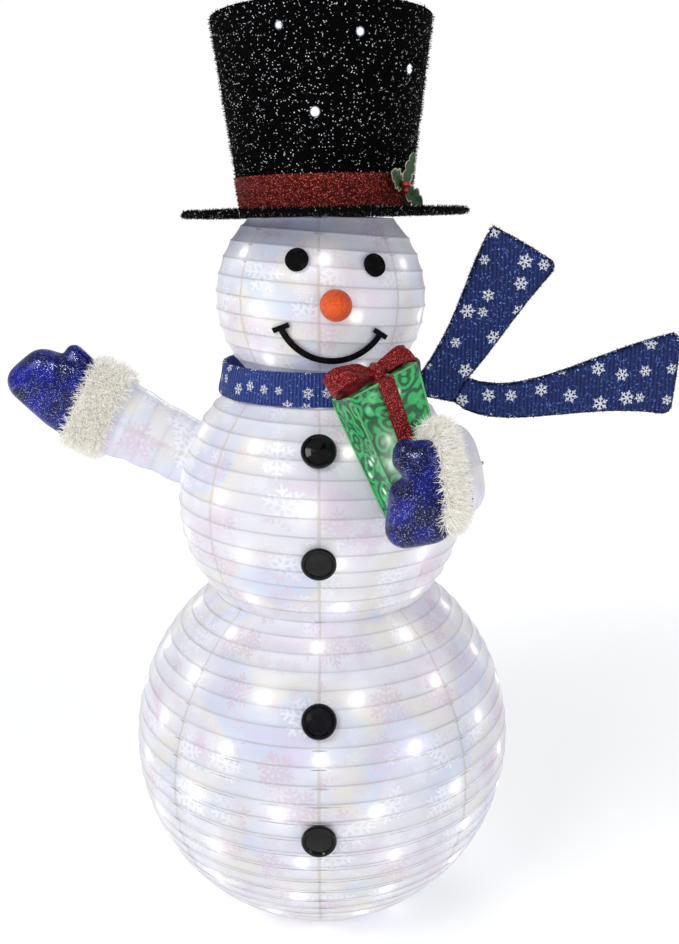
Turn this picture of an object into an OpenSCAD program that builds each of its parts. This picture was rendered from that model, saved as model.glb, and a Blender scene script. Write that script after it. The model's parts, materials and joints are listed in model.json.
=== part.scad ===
// Pop-up yard snowman: fabric balls stretched over steel wire hoops on a
// telescoping centre pole, with a top hat, scarf, wired arms and a gift box.
// Millimetres, +Z up. The origin is on the ground under the pole, front is -Y.

/* [Body balls] */
// Radius of the bottom ball over its fabric
bottom_r = 340; // [310:1:410]
// Height of the bottom ball's centre above the ground
bottom_z = 303; // [280:1:305]
// Radius of the middle ball over its fabric
middle_r = 250; // [235:1:270]
// Height of the middle ball's centre
middle_z = 747; // [700:1:780]
// Radius of the head over its fabric
head_r = 176; // [160:1:186]
// Height of the head's centre
head_z = 1093; // [1060:1:1110]
// Distance along the fabric from one hoop to the next
hoop_pitch = 29; // [24:1:40]
// Thickness of the ball fabric
fabric_t = 1; // [0.8:0.1:1.6]
// Radius of the hoop wire
hoop_wire_r = 1.5; // [1:0.1:2.5]
// Sideways lean of the middle ball's hoops, in degrees
middle_tilt = 1.7; // [0:0.1:3]
// Sideways lean of the head's hoops, in degrees
head_tilt = 4.2; // [0:0.1:6]
// Height of the ring that closes the head under the hat, above the head's centre
crown_ring_rise = 126; // [110:1:135]

/* [Pole and base] */
// Outer radius of the lower pole tube
pole_r = 12.5; // [11:0.5:18]
// Wall of every pole tube
pole_wall = 1.2; // [1:0.1:1.6]
// Length of one pole tube
pole_tube_len = 468; // [440:1:500]
// Running clearance between one pole tube and the next
pole_gap = 0.3; // [0.2:0.05:0.5]
// Radius of the base ring's wire
base_wire_r = 3; // [2.5:0.5:4]
// Radius of the hub plate that the pole stands on
hub_r = 45; // [35:1:60]
// Thickness of the hub plate
hub_t = 4; // [3:0.5:6]
// Radius of the circle that the stake eyelets stand on
stake_circle_r = 125; // [100:1:130]
// Radius of a stake eyelet's hole
stake_hole_r = 4; // [3:0.5:5]

/* [Hat] */
// Radius of the hat brim
brim_r = 233; // [210:1:245]
// Thickness of the hat brim
brim_t = 6; // [4:0.5:8]
// Height of the brim's middle above the ground
brim_z = 1230; // [1228:1:1240]
// Sideways place of the hat
hat_x = 8; // [0:1:12]
// Sideways lean of the hat, in degrees
hat_tilt = 1; // [0:0.1:1.5]
// Radius of the crown where it meets the brim
crown_low_r = 137; // [132:1:150]
// Radius of the crown at its top
crown_top_r = 175; // [150:1:190]
// Height of the crown above the brim
crown_h = 290; // [240:1:330]
// Wall of the crown
crown_wall = 2; // [1.5:0.1:3]
// Height of the hat band
band_h = 52; // [35:1:70]

/* [Face and buttons] */
// Turn of the face towards +X, in degrees
face_turn = 8; // [0:1:12]
// Radius of an eye
eye_r = 18; // [14:0.5:20]
// Distance between the eyes
eye_gap = 118; // [100:1:125]
// Height of the eyes above the head's centre
eye_rise = 63; // [58:1:70]
// Radius of the nose at its widest
nose_r = 24; // [18:0.5:25]
// Radius of the mouth's arc
mouth_r = 88; // [80:1:92]
// Width of the mouth's stripe
mouth_w = 10; // [7:0.5:12]
// Radius of a button
button_r = 27.5; // [20:0.5:30]
// Heights of the four buttons, from the lowest to the highest
button_heights = [288, 466, 707, 874]; // [200:1:900]

/* [Scarf] */
// Height of the scarf collar
collar_h = 53; // [40:1:60]
// Outer radius of the collar at its lower edge
collar_low_r = 176; // [172:1:184]
// Outer radius of the collar at its upper edge
collar_high_r = 168; // [160:1:170]
// Thickness of the collar
collar_t = 8; // [5:0.5:10]
// Thickness of the scarf tails
tail_t = 14; // [10:0.5:18]

/* [Arms and gift] */
// Lift of the waving arm from level, in degrees
wave_lift = 27; // [20:1:32]
// Length of the waving arm's sleeve
sleeve_len = 112; // [95:1:135]
// Length of the waving arm's cuff
cuff_len = 60; // [40:1:75]
// Radius of the arm wire
arm_wire_r = 2.5; // [2:0.1:3.5]
// Radius of the hinge pin at a shoulder
pin_r = 3; // [2:0.5:4]
// Width of the gift box across its top
gift_w = 117; // [95:1:125]
// Width of the gift box across its bottom
gift_low_w = 74; // [60:1:80]
// Height of the gift box
gift_h = 225; // [190:1:235]
// Depth of the gift box
gift_d = 75; // [60:1:80]
// Width of the gift's ribbon
ribbon_w = 26; // [18:1:32]

/* [Lights] */
// Radius of a light bulb's cap
bulb_r = 3; // [2:0.1:4]
// Distance between bulbs along a row
bulb_pitch = 150; // [110:5:220]
// Number of hoops from one row of lights to the next
row_step = 3; // [2:1:4]

/* [Hidden] */
$fn = 64;

// Clearance between neighbours that do not touch
gap = 0.3;

// Balls as [centre height, radius, hoop lean, lowest latitude, highest latitude]
waist_rise = meet(bottom_z, bottom_r, middle_z, middle_r);
neck_rise = meet(middle_z, middle_r, head_z, head_r);
waist_z = bottom_z + waist_rise;
waist_r = ring_r(bottom_r, waist_rise);
neck_z = middle_z + neck_rise;
neck_r = ring_r(middle_r, neck_rise);
base_r = ring_r(bottom_r, bottom_z);
crown_ring_z = head_z + crown_ring_rise;
// Wire centre of the ring under the hat, clear of the fabric that leans in over it
crown_ring_r = ring_r(head_r, crown_ring_rise) - (fabric_t + gap + hoop_wire_r) / cos(asin(crown_ring_rise / head_r));
bottom_ball = [bottom_z, bottom_r, 0, -asin(bottom_z / bottom_r), asin(waist_rise / bottom_r)];
middle_ball = [middle_z, middle_r, middle_tilt, asin((waist_z - middle_z) / middle_r),
  asin(neck_rise / middle_r)];
head_ball = [head_z, head_r, head_tilt, asin((neck_z - head_z) / head_r),
  asin(crown_ring_rise / head_r)];

// Height above a ball's centre where it meets the next ball up
function meet(z1, r1, z2, r2) = ((z2 - z1) * (z2 - z1) + r1 * r1 - r2 * r2) / (2 * (z2 - z1));
// Radius of a ball at a height above or below its centre
function ring_r(r, rise) = sqrt(r * r - rise * rise);
// Number of hoop spaces on a ball
function spaces(ball) = round((ball[4] - ball[3]) * PI / 180 * ball[1] / hoop_pitch);
// Latitude of a hoop, counted from the ball's lower ring
function latitude(ball, i) = ball[3] + i * (ball[4] - ball[3]) / spaces(ball);
// The hoop nearest to a height
function nearest(ball, z) =
  round((asin((z - ball[0]) / ball[1]) - ball[3]) * spaces(ball) / (ball[4] - ball[3]));
// Points of a cubic curve, without its last point
function curve(a, b, c, d, n = 12) = [for (i = [0 : n - 1]) let (t = i / n, s = 1 - t)
  s * s * s * a + 3 * s * s * t * b + 3 * s * t * t * c + t * t * t * d];

// Distance of the hoop wire's centre inside a ball's surface
hoop_inset = fabric_t + gap + hoop_wire_r;
// Hoops that carry something else, by their place on each ball
low_button_i = nearest(bottom_ball, button_heights[0]);
high_button_i = nearest(bottom_ball, button_heights[1]);
belly_button_i = nearest(middle_ball, button_heights[2]);
shoulder_i = nearest(middle_ball, 840);
chest_button_i = nearest(middle_ball, button_heights[3]);
mouth_i = nearest(head_ball, head_z - 60);
nose_i = nearest(head_ball, head_z);
eyes_i = nearest(head_ball, head_z + eye_rise);
shoulder_lat = latitude(middle_ball, shoulder_i);

// ---- helpers ----

// Places a child at the end of a vector, turned to face along it
module aim(from, along) {
  translate(from)
    rotate([0, acos(along[2] / norm(along)), atan2(along[1], along[0])])
      children();
}

module rod(a, b, r) {
  aim(a, b - a) cylinder(h = norm(b - a), r = r);
}

module ring(r, wire) {
  rotate_extrude() translate([r, 0]) circle(r = wire);
}

// A ring inside a ball at a latitude
module ball_ring(ball, lat, inset, wire) {
  translate([0, 0, ball[0]]) rotate([0, ball[2], 0])
    translate([0, 0, (ball[1] - inset) * sin(lat)])
      ring((ball[1] - inset) * cos(lat), wire);
}

module hoop(ball, i) {
  color("gainsboro") ball_ring(ball, latitude(ball, i), hoop_inset, hoop_wire_r);
}

module ribs(ball, taken) {
  color("gainsboro")
    for (i = [1 : spaces(ball) - 1])
      if (len(search(i, taken)) == 0)
        ball_ring(ball, latitude(ball, i), hoop_inset, hoop_wire_r);
}

// A ball's fabric between two heights
module ball_skin(ball, low, high) {
  difference() {
    translate([0, 0, ball[0]]) sphere(r = ball[1]);
    translate([0, 0, ball[0]]) sphere(r = ball[1] - fabric_t);
    translate([0, 0, low - 500]) cube([1000, 1000, 1000], center = true);
    translate([0, 0, high + 500]) cube([1000, 1000, 1000], center = true);
  }
}

// Latitudes of the light rows, half-way between hoops
function light_rows(ball) = [for (i = [1 : row_step : spaces(ball) - 2])
  (latitude(ball, i) + latitude(ball, i + 1)) / 2];
light_wire_r = 1;
riser_r = 0.8;
bulb_inset = fabric_t + 2 + bulb_r;
light_wire_inset = bulb_inset + bulb_r + gap + light_wire_r;

// The light string's rows, with a riser from each to the next at the back
module light_wire(ball) {
  rows = light_rows(ball);
  r = ball[1] - light_wire_inset;
  color("white") {
    for (lat = rows) ball_ring(ball, lat, light_wire_inset, light_wire_r);
    translate([0, 0, ball[0]]) rotate([0, ball[2], 0])
      for (i = [0 : len(rows) - 2]) {
        a = [0, r * cos(rows[i]), r * sin(rows[i])];
        b = [0, r * cos(rows[i + 1]), r * sin(rows[i + 1])];
        clear = (light_wire_r + gap) * (b - a) / norm(b - a);
        rod(a + clear, b - clear, riser_r);
      }
  }
}

module bulbs(ball) {
  rows = light_rows(ball);
  r = ball[1] - bulb_inset;
  color("lightyellow") translate([0, 0, ball[0]]) rotate([0, ball[2], 0])
    for (i = [0 : len(rows) - 1]) {
      count = max(5, round(2 * PI * r * cos(rows[i]) / bulb_pitch));
      for (k = [0 : count - 1])
        rotate([0, 0, 360 * (k + 0.5 * (i % 2)) / count + 7 * i])
          translate([r * cos(rows[i]), 0, r * sin(rows[i])])
            sphere(r = bulb_r);
    }
}

// Places a child on a ball's surface, with +Z outwards
module on_ball(ball, turn, lat) {
  translate([0, 0, ball[0]]) rotate([0, 90 - lat, turn - 90])
    translate([0, 0, ball[1]]) children();
}

// ---- base and pole ----

module base_stand() {
  spoke_r = 3;
  color("dimgray") difference() {
    union() {
      translate([0, 0, base_wire_r]) ring(base_r, base_wire_r);
      cylinder(h = hub_t, r = hub_r);
      for (a = [45 : 90 : 315]) rotate([0, 0, a]) {
        rod([hub_r - 4, 0, spoke_r], [base_r, 0, spoke_r], spoke_r);
        translate([stake_circle_r, 0, 0]) cylinder(h = 2 * spoke_r, r = stake_hole_r + 5);
      }
    }
    for (a = [45 : 90 : 315]) rotate([0, 0, a])
      translate([stake_circle_r, 0, -1]) cylinder(h = 2 * spoke_r + 2, r = stake_hole_r);
  }
}

socket_h = 60;
socket_wall = 3;

module pole_socket() {
  color("dimgray") translate([0, 0, hub_t]) difference() {
    cylinder(h = socket_h, r = pole_r + socket_wall);
    translate([0, 0, 2]) cylinder(h = socket_h, r = pole_r + gap);
  }
}

// Radius and foot height of each pole tube: lower, middle, upper
pole_radii = [for (i = [0 : 2]) pole_r - i * (pole_wall + pole_gap)];
pole_overlap = (3 * pole_tube_len - (crown_ring_z - hub_t - 2.5)) / 2;
pole_feet = [for (i = [0 : 2]) hub_t + 2.5 + i * (pole_tube_len - pole_overlap)];
pole_top_z = pole_feet[2] + pole_tube_len;

module pole_tube(i) {
  color("silver") translate([0, 0, pole_feet[i]]) difference() {
    cylinder(h = pole_tube_len, r = pole_radii[i]);
    translate([0, 0, -1]) cylinder(h = pole_tube_len + 2, r = pole_radii[i] - pole_wall);
  }
}

collar_body_h = 30;

// A twist lock that sits over the top of a pole tube
module lock_collar(i) {
  top = pole_feet[i] + pole_tube_len;
  color("black") translate([0, 0, top - collar_body_h + 4]) difference() {
    union() {
      cylinder(h = collar_body_h, r = pole_radii[i] + 4);
      for (a = [0 : 45 : 315]) rotate([0, 0, a])
        translate([pole_radii[i] + 4, 0, 3]) cylinder(h = collar_body_h - 6, r = 1.5);
    }
    translate([0, 0, -1]) cylinder(h = collar_body_h - 3 + gap, r = pole_radii[i] + gap);
    cylinder(h = collar_body_h + 1, r = pole_radii[i + 1] + gap);
  }
}

// The cross at the pole's top that holds the ring under the hat
module top_spider() {
  arm_r = 2.5;
  reach = crown_ring_r - hoop_wire_r - gap;
  color("dimgray") {
    translate([0, 0, pole_top_z + gap]) cylinder(h = 14, r = pole_radii[2] + 3);
    for (a = [0 : 90 : 270]) rotate([0, 0, a])
      rod([pole_radii[2], 0, pole_top_z + gap + 5], [reach, 0, crown_ring_z], arm_r);
  }
}

module head_top_ring() {
  color("gainsboro") translate([0, 0, crown_ring_z])
    ring(crown_ring_r, hoop_wire_r);
}

// ---- hoops and skins ----

notch_inset = 6;

module waist_ring() {
  color("gainsboro") translate([0, 0, waist_z]) ring(waist_r - notch_inset, hoop_wire_r);
}

module neck_ring() {
  color("gainsboro") translate([0, 0, neck_z]) ring(neck_r - notch_inset, hoop_wire_r);
}

seam_gap = 0.2;

module bottom_fabric() {
  color("white") ball_skin(bottom_ball, 2 * base_wire_r + gap, waist_z - seam_gap);
}

arm_hole_r = 14;

module middle_fabric() {
  color("white") difference() {
    ball_skin(middle_ball, waist_z + seam_gap, neck_z - seam_gap);
    for (u = [wave_dir, gift_dir])
      aim([0, 0, middle_z] + (middle_r - 20) * u, u) cylinder(h = 40, r = arm_hole_r);
  }
}

module head_fabric() {
  color("white") ball_skin(head_ball, neck_z + seam_gap, crown_ring_z + 2);
}

// ---- face and buttons ----

module eyes() {
  eye_turn = asin(eye_gap / 2 / (head_r * cos(asin(eye_rise / head_r))));
  color("black") translate([0, 0, head_z]) rotate([0, head_tilt, 0]) translate([0, 0, -head_z])
    for (s = [-1, 1])
      on_ball(head_ball, face_turn + s * eye_turn, asin(eye_rise / head_r))
        translate([0, 0, gap]) cylinder(h = 4, r = eye_r);
}

module nose() {
  n = 18;
  len = 2.3 * nose_r;
  color("darkorange") on_ball(head_ball, face_turn, 0) translate([0, 0, gap])
    rotate_extrude() polygon(concat([[0, 0]],
      [for (i = [0 : n]) let (t = i / n)
        [nose_r * sqrt(max(0, 1 - pow(t * 1.28 - 0.28, 2))), len * t]]));
}

// The smile: a round stripe laid on the head, with a short bar across each end
module mouth() {
  t = 3;
  end = 62;
  color("black") intersection() {
    difference() {
      translate([0, 0, head_z]) sphere(r = head_r + gap + t);
      translate([0, 0, head_z]) sphere(r = head_r + gap);
    }
    translate([0, 0, head_z]) rotate([90, 0, face_turn]) rotate([0, 0, -head_tilt]) union() {
      difference() {
        cylinder(h = 2 * head_r, r = mouth_r + mouth_w / 2);
        translate([0, 0, -1]) cylinder(h = 2 * head_r + 2, r = mouth_r - mouth_w / 2);
        for (s = [0, 1]) mirror([s, 0, 0]) rotate([0, 0, end - 90])
          translate([0, 0, -1]) cube([300, 300, 2 * head_r + 2]);
        translate([-150, 0, -1]) cube([300, 300, 2 * head_r + 2]);
      }
      for (s = [-1, 1]) rotate([0, 0, s * end]) translate([0, -mouth_r, head_r / 2])
        cube([mouth_w * 0.8, 2.6 * mouth_w, head_r], center = true);
    }
  }
}

// A domed button with a raised rim, sewn against a ball
module button(ball, z) {
  h = 9;
  color("black") on_ball(ball, 0, asin((z - ball[0]) / ball[1])) translate([0, 0, gap])
    rotate_extrude() polygon([[0, 0], [button_r * 0.92, 0], [button_r, 3], [button_r, 6],
      [button_r * 0.94, h], [button_r * 0.82, h], [button_r * 0.74, 6], [button_r * 0.45, 7.5],
      [0, h]]);
}

// ---- hat ----

module hat_place() {
  translate([hat_x, 0, brim_z]) rotate([0, -hat_tilt, 0]) children();
}

crown_foot = brim_t / 2 + gap;
// Radius of the crown's outside at a height above its foot
function crown_r(z) = crown_low_r + (crown_top_r - crown_low_r) * z / crown_h;

module hat_crown() {
  color([0.05, 0.05, 0.05]) hat_place() translate([0, 0, crown_foot]) difference() {
    cylinder(h = crown_h, r1 = crown_r(0), r2 = crown_r(crown_h));
    translate([0, 0, -1])
      cylinder(h = crown_h - crown_wall + 1, r1 = crown_r(-1) - crown_wall,
        r2 = crown_r(crown_h - crown_wall) - crown_wall);
  }
}

module hat_brim() {
  color([0.05, 0.05, 0.05]) hat_place() difference() {
    cylinder(h = brim_t, r = brim_r, center = true);
    cylinder(h = brim_t + 2, r = crown_low_r - crown_wall - 4, center = true);
  }
}

band_t = 2.5;

module hat_band() {
  color("firebrick") hat_place() translate([0, 0, crown_foot]) difference() {
    cylinder(h = band_h, r1 = crown_r(0) + gap + band_t, r2 = crown_r(band_h) + gap + band_t);
    translate([0, 0, -1])
      cylinder(h = band_h + 2, r1 = crown_r(-1) + gap, r2 = crown_r(band_h + 1) + gap);
  }
}

// Wire frame inside the crown: two rings joined by leaning struts
module hat_frame() {
  wire = 1.5;
  inset = crown_wall + gap + wire + 1;
  low = 4;
  high = crown_h - crown_wall - 5;
  color("silver") hat_place() translate([0, 0, crown_foot]) {
    translate([0, 0, low]) ring(crown_r(low) - inset, wire);
    translate([0, 0, high]) ring(crown_r(high) - inset, wire);
    for (a = [22.5 : 45 : 360]) rotate([0, 0, a])
      rod([crown_r(low) - inset, 0, low], [crown_r(high) - inset, 0, high], 1.2);
  }
}

holly_turn = -33;
holly_h = band_h * 0.66;
crown_flare = atan((crown_top_r - crown_low_r) / crown_h);

// Lays a child on the band, with +Z outwards and +Y up the crown
module on_band(z) {
  hat_place() rotate([0, 0, holly_turn]) translate([crown_r(z), 0, crown_foot + z])
    rotate([0, crown_flare, 0]) rotate([90, 0, 90])
      translate([0, 0, band_t + 2 * gap]) children();
}

leaf_t = 2;

module holly_leaves() {
  // Half-width of a leaf along its length, with four points a side
  function half(t) = 11 * pow(sin(180 * t), 0.8) * (0.72 + 0.28 * abs(cos(720 * t)));
  n = 32;
  color("darkgreen") on_band(holly_h)
    for (leaf = [[20, 56, 0], [95, 50, 0], [-30, 34, 0]])
      rotate([0, 0, leaf[0]]) translate([8, 0, leaf[2]]) linear_extrude(leaf_t)
        polygon(concat([for (i = [0 : n]) [leaf[1] * i / n, half(i / n)]],
          [for (i = [n - 1 : -1 : 1]) [leaf[1] * i / n, -half(i / n)]]));
}

module holly_berries() {
  color("red") on_band(holly_h)
    for (a = [30 : 120 : 270]) rotate([0, 0, a])
      translate([6.5, 0, leaf_t + gap + 5]) sphere(r = 5);
}

// ---- scarf ----

// The collar lies on the middle ball's shoulders
collar_z = middle_z + ring_r(middle_r, collar_low_r - collar_t) + 3;

module scarf_collar() {
  color("mediumblue") translate([0, 0, collar_z]) difference() {
    cylinder(h = collar_h, r1 = collar_low_r, r2 = collar_high_r);
    translate([0, 0, -0.01])
      cylinder(h = collar_h + 0.02, r1 = collar_low_r - collar_t, r2 = collar_high_r - collar_t);
  }
}

tail_y = -70;
// Where the two tails part, and where their root meets the collar
fork = [240, 966];
root_top = [167, 975];
root_low = [169, 938];
root_join = [221, 928];

module tail(points) {
  color("mediumblue") translate([0, tail_y + tail_t / 2, 0]) rotate([90, 0, 0])
    linear_extrude(tail_t) polygon(points);
}

module scarf_tail_upper() {
  tail(concat(curve(root_top, [225, 1050], [240, 1150], [275, 1207]),
    curve([275, 1207], [310, 1190], [345, 1170], [371, 1153], 2),
    curve([371, 1153], [374, 1150], [374, 1145], [372, 1139], 3),
    curve([372, 1139], [320, 1080], [275, 1005], fork),
    [fork, root_join, root_low]));
}

module scarf_tail_lower() {
  tail(concat(curve(fork + [gap, 0], [330, 925], [450, 1010], [575, 1038]),
    curve([575, 1038], [581, 1036], [585, 1031], [586, 1024], 4),
    curve([586, 1024], [585, 990], [583, 950], [580, 918], 2),
    curve([580, 918], [579, 912], [574, 909], [567, 909], 3),
    curve([567, 909], [430, 930], [290, 870], root_join + [gap, 0]),
    [root_join + [gap, 0]]));
}

// ---- arms ----

hinge_reach = middle_r + 12;
wave_turn = 185;
gift_turn = -35;
wave_dir = [cos(shoulder_lat) * cos(wave_turn), cos(shoulder_lat) * sin(wave_turn), sin(shoulder_lat)];
gift_dir = [cos(shoulder_lat) * cos(gift_turn), cos(shoulder_lat) * sin(gift_turn), sin(shoulder_lat)];
wave_hinge = [0, 0, middle_z] + hinge_reach * wave_dir;
gift_hinge = [0, 0, middle_z] + hinge_reach * gift_dir;
eye_outer_r = 7;
bracket_r = 2.5;
eye_len = 8;
pin_gap = 0.08;

// A hinge eye with its bore along +Z at the origin
module hinge_eye() {
  difference() {
    cylinder(h = eye_len, r = eye_outer_r, center = true);
    cylinder(h = eye_len + 2, r = pin_r + pin_gap, center = true);
  }
}

// The fork and pin that turn in an eye, with the pin along +Z and the arm along +X
module hinge_fork() {
  cheek = 2.5;
  cheek_r = 5.5;
  cylinder(h = eye_len + 2 * (gap + cheek), r = pin_r, center = true);
  for (s = [-1, 1]) translate([0, 0, s * (eye_len / 2 + gap + cheek / 2)]) {
    cylinder(h = cheek, r = cheek_r, center = true);
    translate([8, 0, 0]) cube([16, 2 * cheek_r, cheek], center = true);
  }
  translate([14, 0, 0]) cube([6, 2 * cheek_r, eye_len + 2 * (gap + cheek)], center = true);
}

// Brackets clamped on the shoulder hoop, each ending in a hinge eye outside the fabric
module shoulder_brackets() {
  color("dimgray") for (arm = [[wave_dir, wave_hinge, 90], [gift_dir, gift_hinge, 0]]) {
    start = [0, 0, middle_z] + (middle_r - 3 * hoop_inset) * arm[0];
    stop = [0, 0, middle_z] + (hinge_reach - eye_outer_r) * arm[0];
    difference() {
      rod(start, stop, bracket_r);
      // clearance round the shoulder hoop
      ball_ring(middle_ball, shoulder_lat, hoop_inset, hoop_wire_r + 0.05);
    }
    translate(arm[1]) rotate([arm[2], 0, 0]) hinge_eye();
  }
}

// Waving arm's own frame: +X out along the arm, +Z across it
module wave_place() {
  translate(wave_hinge) rotate([0, wave_lift - 180, 0]) mirror([0, 0, 1]) children();
}

// Half a millimetre of arm section: a stadium, long along Z, facing +X
module section(half_h, half_d) {
  rotate([90, 0, 90]) linear_extrude(0.5) {
    square([2 * half_d, 2 * (half_h - half_d)], center = true);
    for (s = [-1, 1]) translate([0, s * (half_h - half_d)]) circle(r = half_d, $fn = 32);
  }
}

// Ring of arm section, exact, for cuffs
module section_tube(len, half_h, half_d, wall) {
  rotate([90, 0, 90]) linear_extrude(len) difference() {
    union() {
      square([2 * half_d, 2 * (half_h - half_d)], center = true);
      for (s = [-1, 1]) translate([0, s * (half_h - half_d)]) circle(r = half_d);
    }
    union() {
      square([2 * (half_d - wall), 2 * (half_h - half_d)], center = true);
      for (s = [-1, 1]) translate([0, s * (half_h - half_d)]) circle(r = half_d - wall);
    }
  }
}

sleeve_wall = 2;
sleeve_start = 10;
// Half-height and half-depth of the sleeve at the shoulder and at the cuff
wave_root = [56, 32];
wave_end = [72, 36];
cuff_x = sleeve_start + sleeve_len;
mitten_x = cuff_x + cuff_len + gap;

module waving_sleeve() {
  color("white") wave_place() difference() {
    hull() {
      translate([sleeve_start, 0, 0]) section(wave_root[0], wave_root[1]);
      translate([cuff_x - 0.5 - gap, 0, 0]) section(wave_end[0], wave_end[1]);
    }
    hull() {
      translate([sleeve_start - 1, 0, 0])
        section(wave_root[0] - sleeve_wall, wave_root[1] - sleeve_wall);
      translate([cuff_x + 1, 0, 0])
        section(wave_end[0] - sleeve_wall, wave_end[1] - sleeve_wall);
    }
  }
}

module waving_cuff() {
  color("ivory") wave_place() translate([cuff_x, 0, 0])
    section_tube(cuff_len, wave_end[0] + 3, wave_end[1] + 3, 6);
}

module waving_mitten() {
  color("navy") wave_place() {
    hull() {
      translate([mitten_x, 0, -1]) section(70, 30);
      translate([mitten_x + 30, 0, -36]) sphere(r = 31, $fn = 32);
      translate([mitten_x + 95, 0, -14]) sphere(r = 32, $fn = 32);
      translate([mitten_x + 80, 0, 20]) sphere(r = 32, $fn = 32);
    }
    hull() {
      translate([mitten_x + 18, 0, 55]) sphere(r = 18, $fn = 32);
      translate([mitten_x + 42, 0, 66]) sphere(r = 16, $fn = 32);
    }
  }
}

// The waving arm's hinge fork, spine and two cross wires
module waving_arm_wire() {
  end = mitten_x - 3;
  color("silver") wave_place() {
    rotate([90, 0, 0]) hinge_fork();
    rod([15, 0, 0], [end, 0, 0], arm_wire_r);
    for (x = [sleeve_start + 14, cuff_x - 6])
      rod([x, 0, -48], [x, 0, 48], arm_wire_r * 0.8);
  }
}

// The gift arm bends forward: [place, heading, roll, half height, half depth]
gift_root = [gift_hinge + 14 * gift_dir, -35, 0, 50, 24];
gift_elbow = [[246, -236, 862], -108, 8, 60, 25];
gift_wrist = [[188, -326, 868], -160, 26, 72, 34];

module gift_section(s, shrink = 0, shift = 0) {
  translate(s[0]) rotate([0, 0, s[1]]) rotate([s[2], 0, 0]) translate([shift, 0, 0])
    section(s[3] - shrink, s[4] - shrink);
}

module gift_sleeve() {
  color("white") difference() {
    union() {
      hull() { gift_section(gift_root); gift_section(gift_elbow); }
      hull() { gift_section(gift_elbow); gift_section(gift_wrist); }
    }
    hull() {
      gift_section(gift_root, sleeve_wall, -1);
      gift_section(gift_elbow, sleeve_wall);
    }
    hull() {
      gift_section(gift_elbow, sleeve_wall);
      gift_section(gift_wrist, sleeve_wall, 1);
    }
    gift_block(2);
  }
}

gift_cuff_len = 26;

module gift_cuff() {
  color("ivory") translate(gift_wrist[0]) rotate([0, 0, gift_wrist[1]])
    rotate([gift_wrist[2], 0, 0]) translate([0.5 + gap, 0, 0])
      section_tube(gift_cuff_len, gift_wrist[3] + 4, gift_wrist[4] + 4, 7);
}

module gift_mitten() {
  y = -338;
  color("navy") difference() {
    union() {
      hull() for (p = [[150, 893], [170, 800], [125, 790], [128, 846]])
        translate([p[0], y, p[1]]) sphere(r = 27, $fn = 32);
      hull() for (p = [[124, 905], [122, 880]])
        translate([p[0], y, p[1]]) sphere(r = 17, $fn = 32);
    }
    gift_block(1);
    // room for the cuff
    translate(gift_wrist[0]) rotate([0, 0, gift_wrist[1]]) rotate([gift_wrist[2], 0, 0])
      translate([-100, -100, -100]) cube([100 + 0.5 + 2 * gap + gift_cuff_len, 200, 200]);
  }
}

module gift_arm_wire() {
  wrist = gift_wrist[0];
  elbow = gift_elbow[0];
  root = gift_hinge + 18 * gift_dir;
  color("silver") {
    translate(gift_hinge) rotate([0, 0, gift_turn]) hinge_fork();
    rod(gift_hinge + [13 * cos(gift_turn), 13 * sin(gift_turn), 0], root, arm_wire_r);
    translate(root) sphere(r = arm_wire_r * 1.3);
    rod(root, elbow, arm_wire_r);
    translate(elbow) sphere(r = arm_wire_r * 1.3);
    rod(elbow, wrist, arm_wire_r);
  }
}

// ---- gift ----

gift_corner = [48, -302, 972];
gift_lean = 24.5;
gift_yaw = 25;
gift_wall = 2;

// The gift's own frame: origin at the front top left corner, +X across, -Z down
module gift_place() {
  translate(gift_corner) rotate([0, -gift_lean, 0]) rotate([0, 0, gift_yaw]) children();
}

// Solid outline of the box, grown by a margin
module gift_block(grow = 0) {
  gift_place() translate([0, gift_d + grow, 0]) rotate([90, 0, 0])
    linear_extrude(gift_d + 2 * grow)
      polygon([[-grow, grow], [gift_w + grow, grow],
        [gift_low_w + grow, -gift_h - grow], [-grow, -gift_h - grow]]);
}

module gift_box() {
  color("seagreen") difference() {
    gift_block();
    gift_block(-gift_wall);
  }
}

ribbon_t = 1.5;

module gift_ribbon() {
  x = gift_w * 0.5;
  color("firebrick") gift_place() difference() {
    translate([x, -gap - ribbon_t, -gift_h - gap - ribbon_t])
      rotate([0, 6, 0]) translate([-ribbon_w / 2 - 22, 0, -6])
        cube([ribbon_w, gift_d + 2 * (gap + ribbon_t), gift_h + 2 * (gap + ribbon_t) + 6]);
    translate([-200, -gap, -gift_h - gap])
      cube([600, gift_d + 2 * gap, gift_h + 2 * gap]);
    // trimmed level with the box's top and bottom
    translate([-200, -200, gap + ribbon_t]) cube([600, 600, 100]);
    translate([-200, -200, -gift_h - gap - ribbon_t - 100]) cube([600, 600, 100]);
  }
}

bow_w = 30;

module gift_bow() {
  knot_r = 12;
  bow_rise = 24;
  // Teardrop outline of a bow loop, from the knot outwards
  function drop(len, half, n = 28) = [for (i = [0 : n - 1]) let (t = 360 * i / n)
    [len * (1 - cos(t)) / 2, half * sin(t) * sin(t / 2)]];
  color("firebrick") gift_place()
    translate([gift_w * 0.5, gift_d / 2, bow_rise]) {
      rotate([90, 0, 0]) cylinder(h = bow_w + 6, r = knot_r, center = true);
      translate([0, 0, (gap + ribbon_t - bow_rise) / 2])
        cube([12, bow_w * 0.6, bow_rise - ribbon_t - 2 * gap - 0.2], center = true);
      for (loop = [[170, 78], [6, 58]]) rotate([0, -loop[0], 0]) rotate([90, 0, 0])
        linear_extrude(bow_w, center = true) translate([knot_r - 4, 0]) difference() {
          polygon(drop(loop[1], 26));
          translate([5, 0]) polygon(drop(loop[1] - 9, 20));
        }
    }
}

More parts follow.
